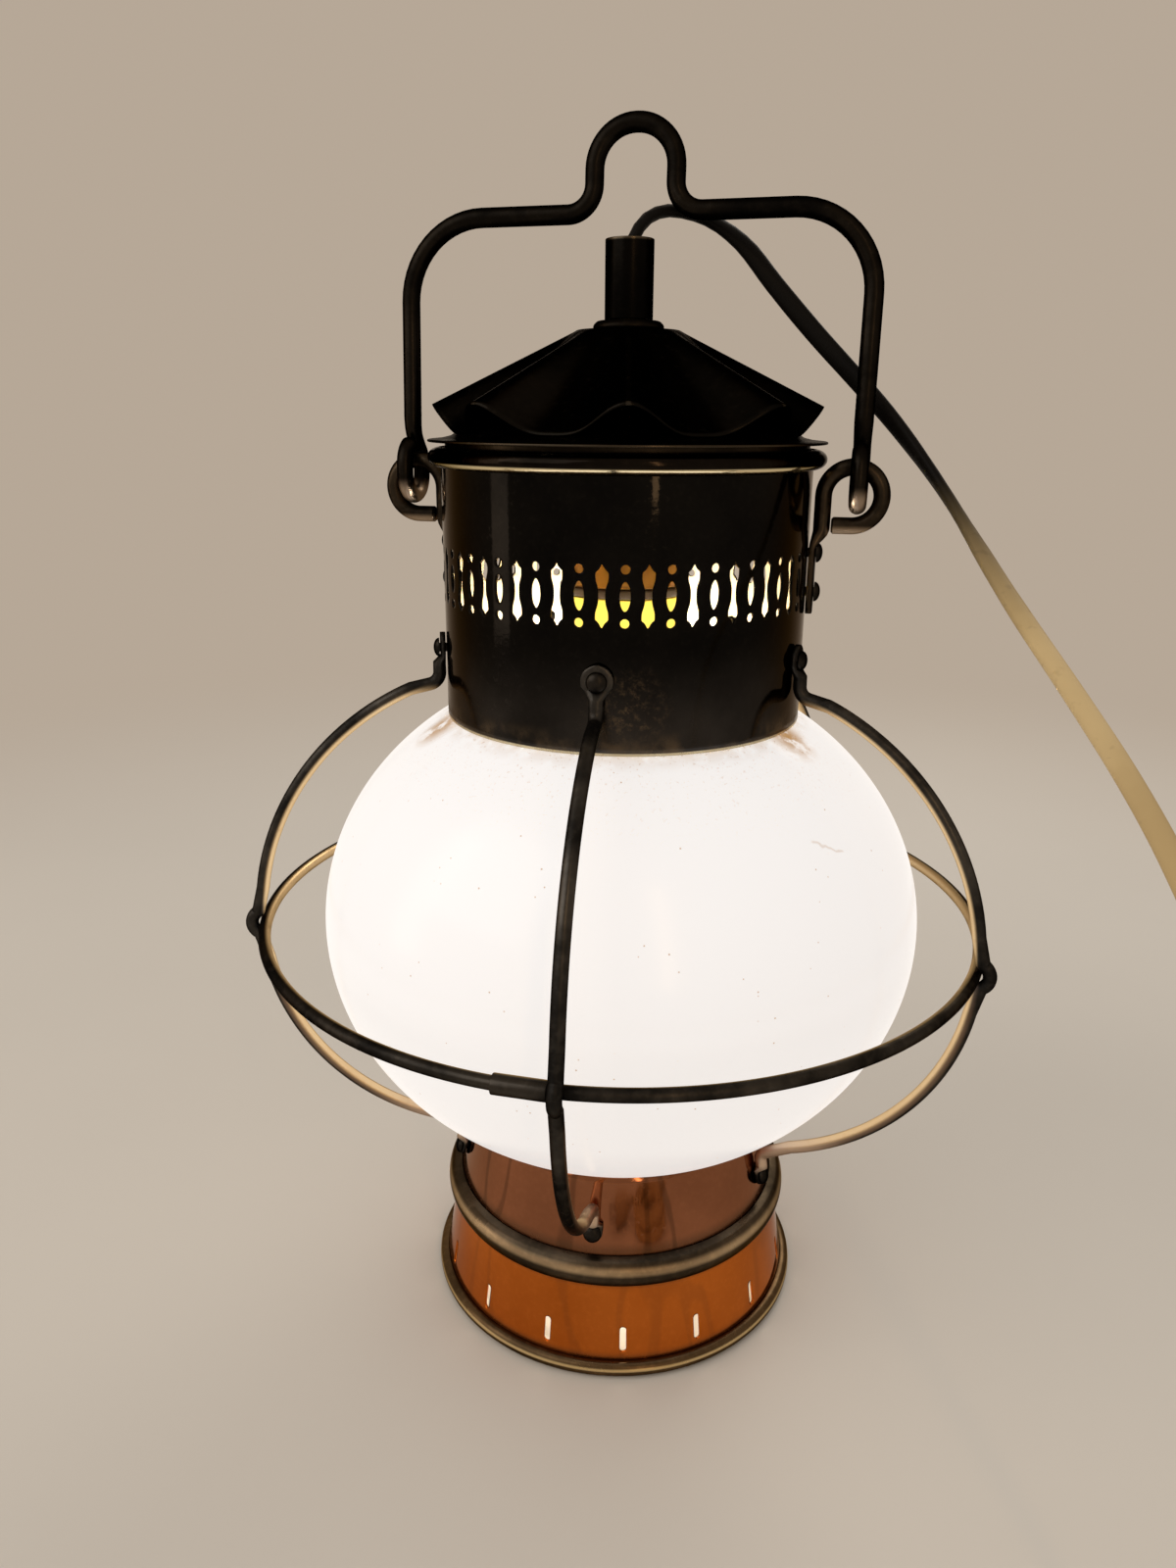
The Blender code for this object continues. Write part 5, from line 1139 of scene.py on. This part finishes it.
down_cone = np.array([math.sin(cone_angle), -math.cos(cone_angle)])
pad_middle = (foot_rivet_radius, foot_rivet_z) + cone_out * (gap + pad_thickness / 2)
pad_run = pad_middle + down_cone * pad_reach[:, None]
eye_x = drum_radius + gap + pad_thickness / 2
eye_run = np.stack([np.full(len(eye_shares), eye_x), rod_rivet_z + eye_pad_half * eye_shares], axis=1)
rod_line = np.vstack([eye_run, head_run[:-1], upper_bow[:-2], wrap, lower_bow[2:], foot_run[1:], pad_run])
forged = np.ones(len(rod_line), bool)
forged[len(eye_run) : -len(pad_run)] = False
rod_wide = np.full(len(rod_line), rod_half)
rod_wide[: len(eye_run)] = eye_pad_half * np.sqrt(np.clip(1 - eye_shares**2, 0.02, 1.0))
rod_wide[len(eye_run) - 1] = eye_neck
pad_share = np.clip(pad_reach / foot_pad_half, 0.0, 1.0)
rod_wide[-len(pad_run) :] = foot_pad_half * np.sqrt(np.clip(1 - pad_share**2, 0.03, 1.0))
rod_thick = np.where(forged, pad_thickness / 2, rod_half)
rod_power = np.where(forged, pad_squareness, 2.0)
rod_path = np.stack([0 * rod_line[:, 0], -rod_line[:, 0], rod_line[:, 1]], axis=1)
rod_points, rod_faces = carried(rod_path, (1.0, 0.0, 0.0), rod_wide, rod_thick, rod_power, 18)

# The globe's light catches the rods' inner side. Their outer side is paler low down, and each foot's bend carries a
# painted highlight.
neck_shade, pale_below, toe_highlight_from, toe_highlight_to = (0.219, 0.224), (0.118, 0.150), (0.052, 0.056), (0.062, 0.078)
outer_band, lit_side = (rod_arc, rod_arc + 0.0014), (rod_arc - 0.0012, rod_arc + 0.0001)
rod_finish = brass(
    "rod_brass", (0.015, 0.0145, 0.014), (0.090, 0.082, 0.072), 0.30, 0.20, cloud_scale=50.0, speck_scale=360.0,
    relief=0.00005, edge=0.3,
)
rod_height = rod_finish.along("Z")
from_arc = ((rod_finish.from_axis() - arc_r) ** 2.0 + (rod_height - arc_z) ** 2.0) ** 0.5
pale_low = from_arc.under(*outer_band) * rod_height.under(*pale_below)
inner_side = from_arc.under(*lit_side) * rod_height.under(*neck_shade)
rod_finish.tint(pale_low * 0.8, (0.30, 0.205, 0.145))
rod_finish.tint(inner_side * 0.85, (0.98, 0.72, 0.40))
rod_finish.tint(rod_height.within(toe_highlight_from, toe_highlight_to) * 0.9, (0.74, 0.56, 0.42))
for number, angle in enumerate(rod_angles, 1):
    spun = placed(rod_points, Matrix.Rotation(angle, 4, "Z"))
    piece(f"cage_rod_{number}", [(spun, rod_faces)], rod_finish, "lamp")
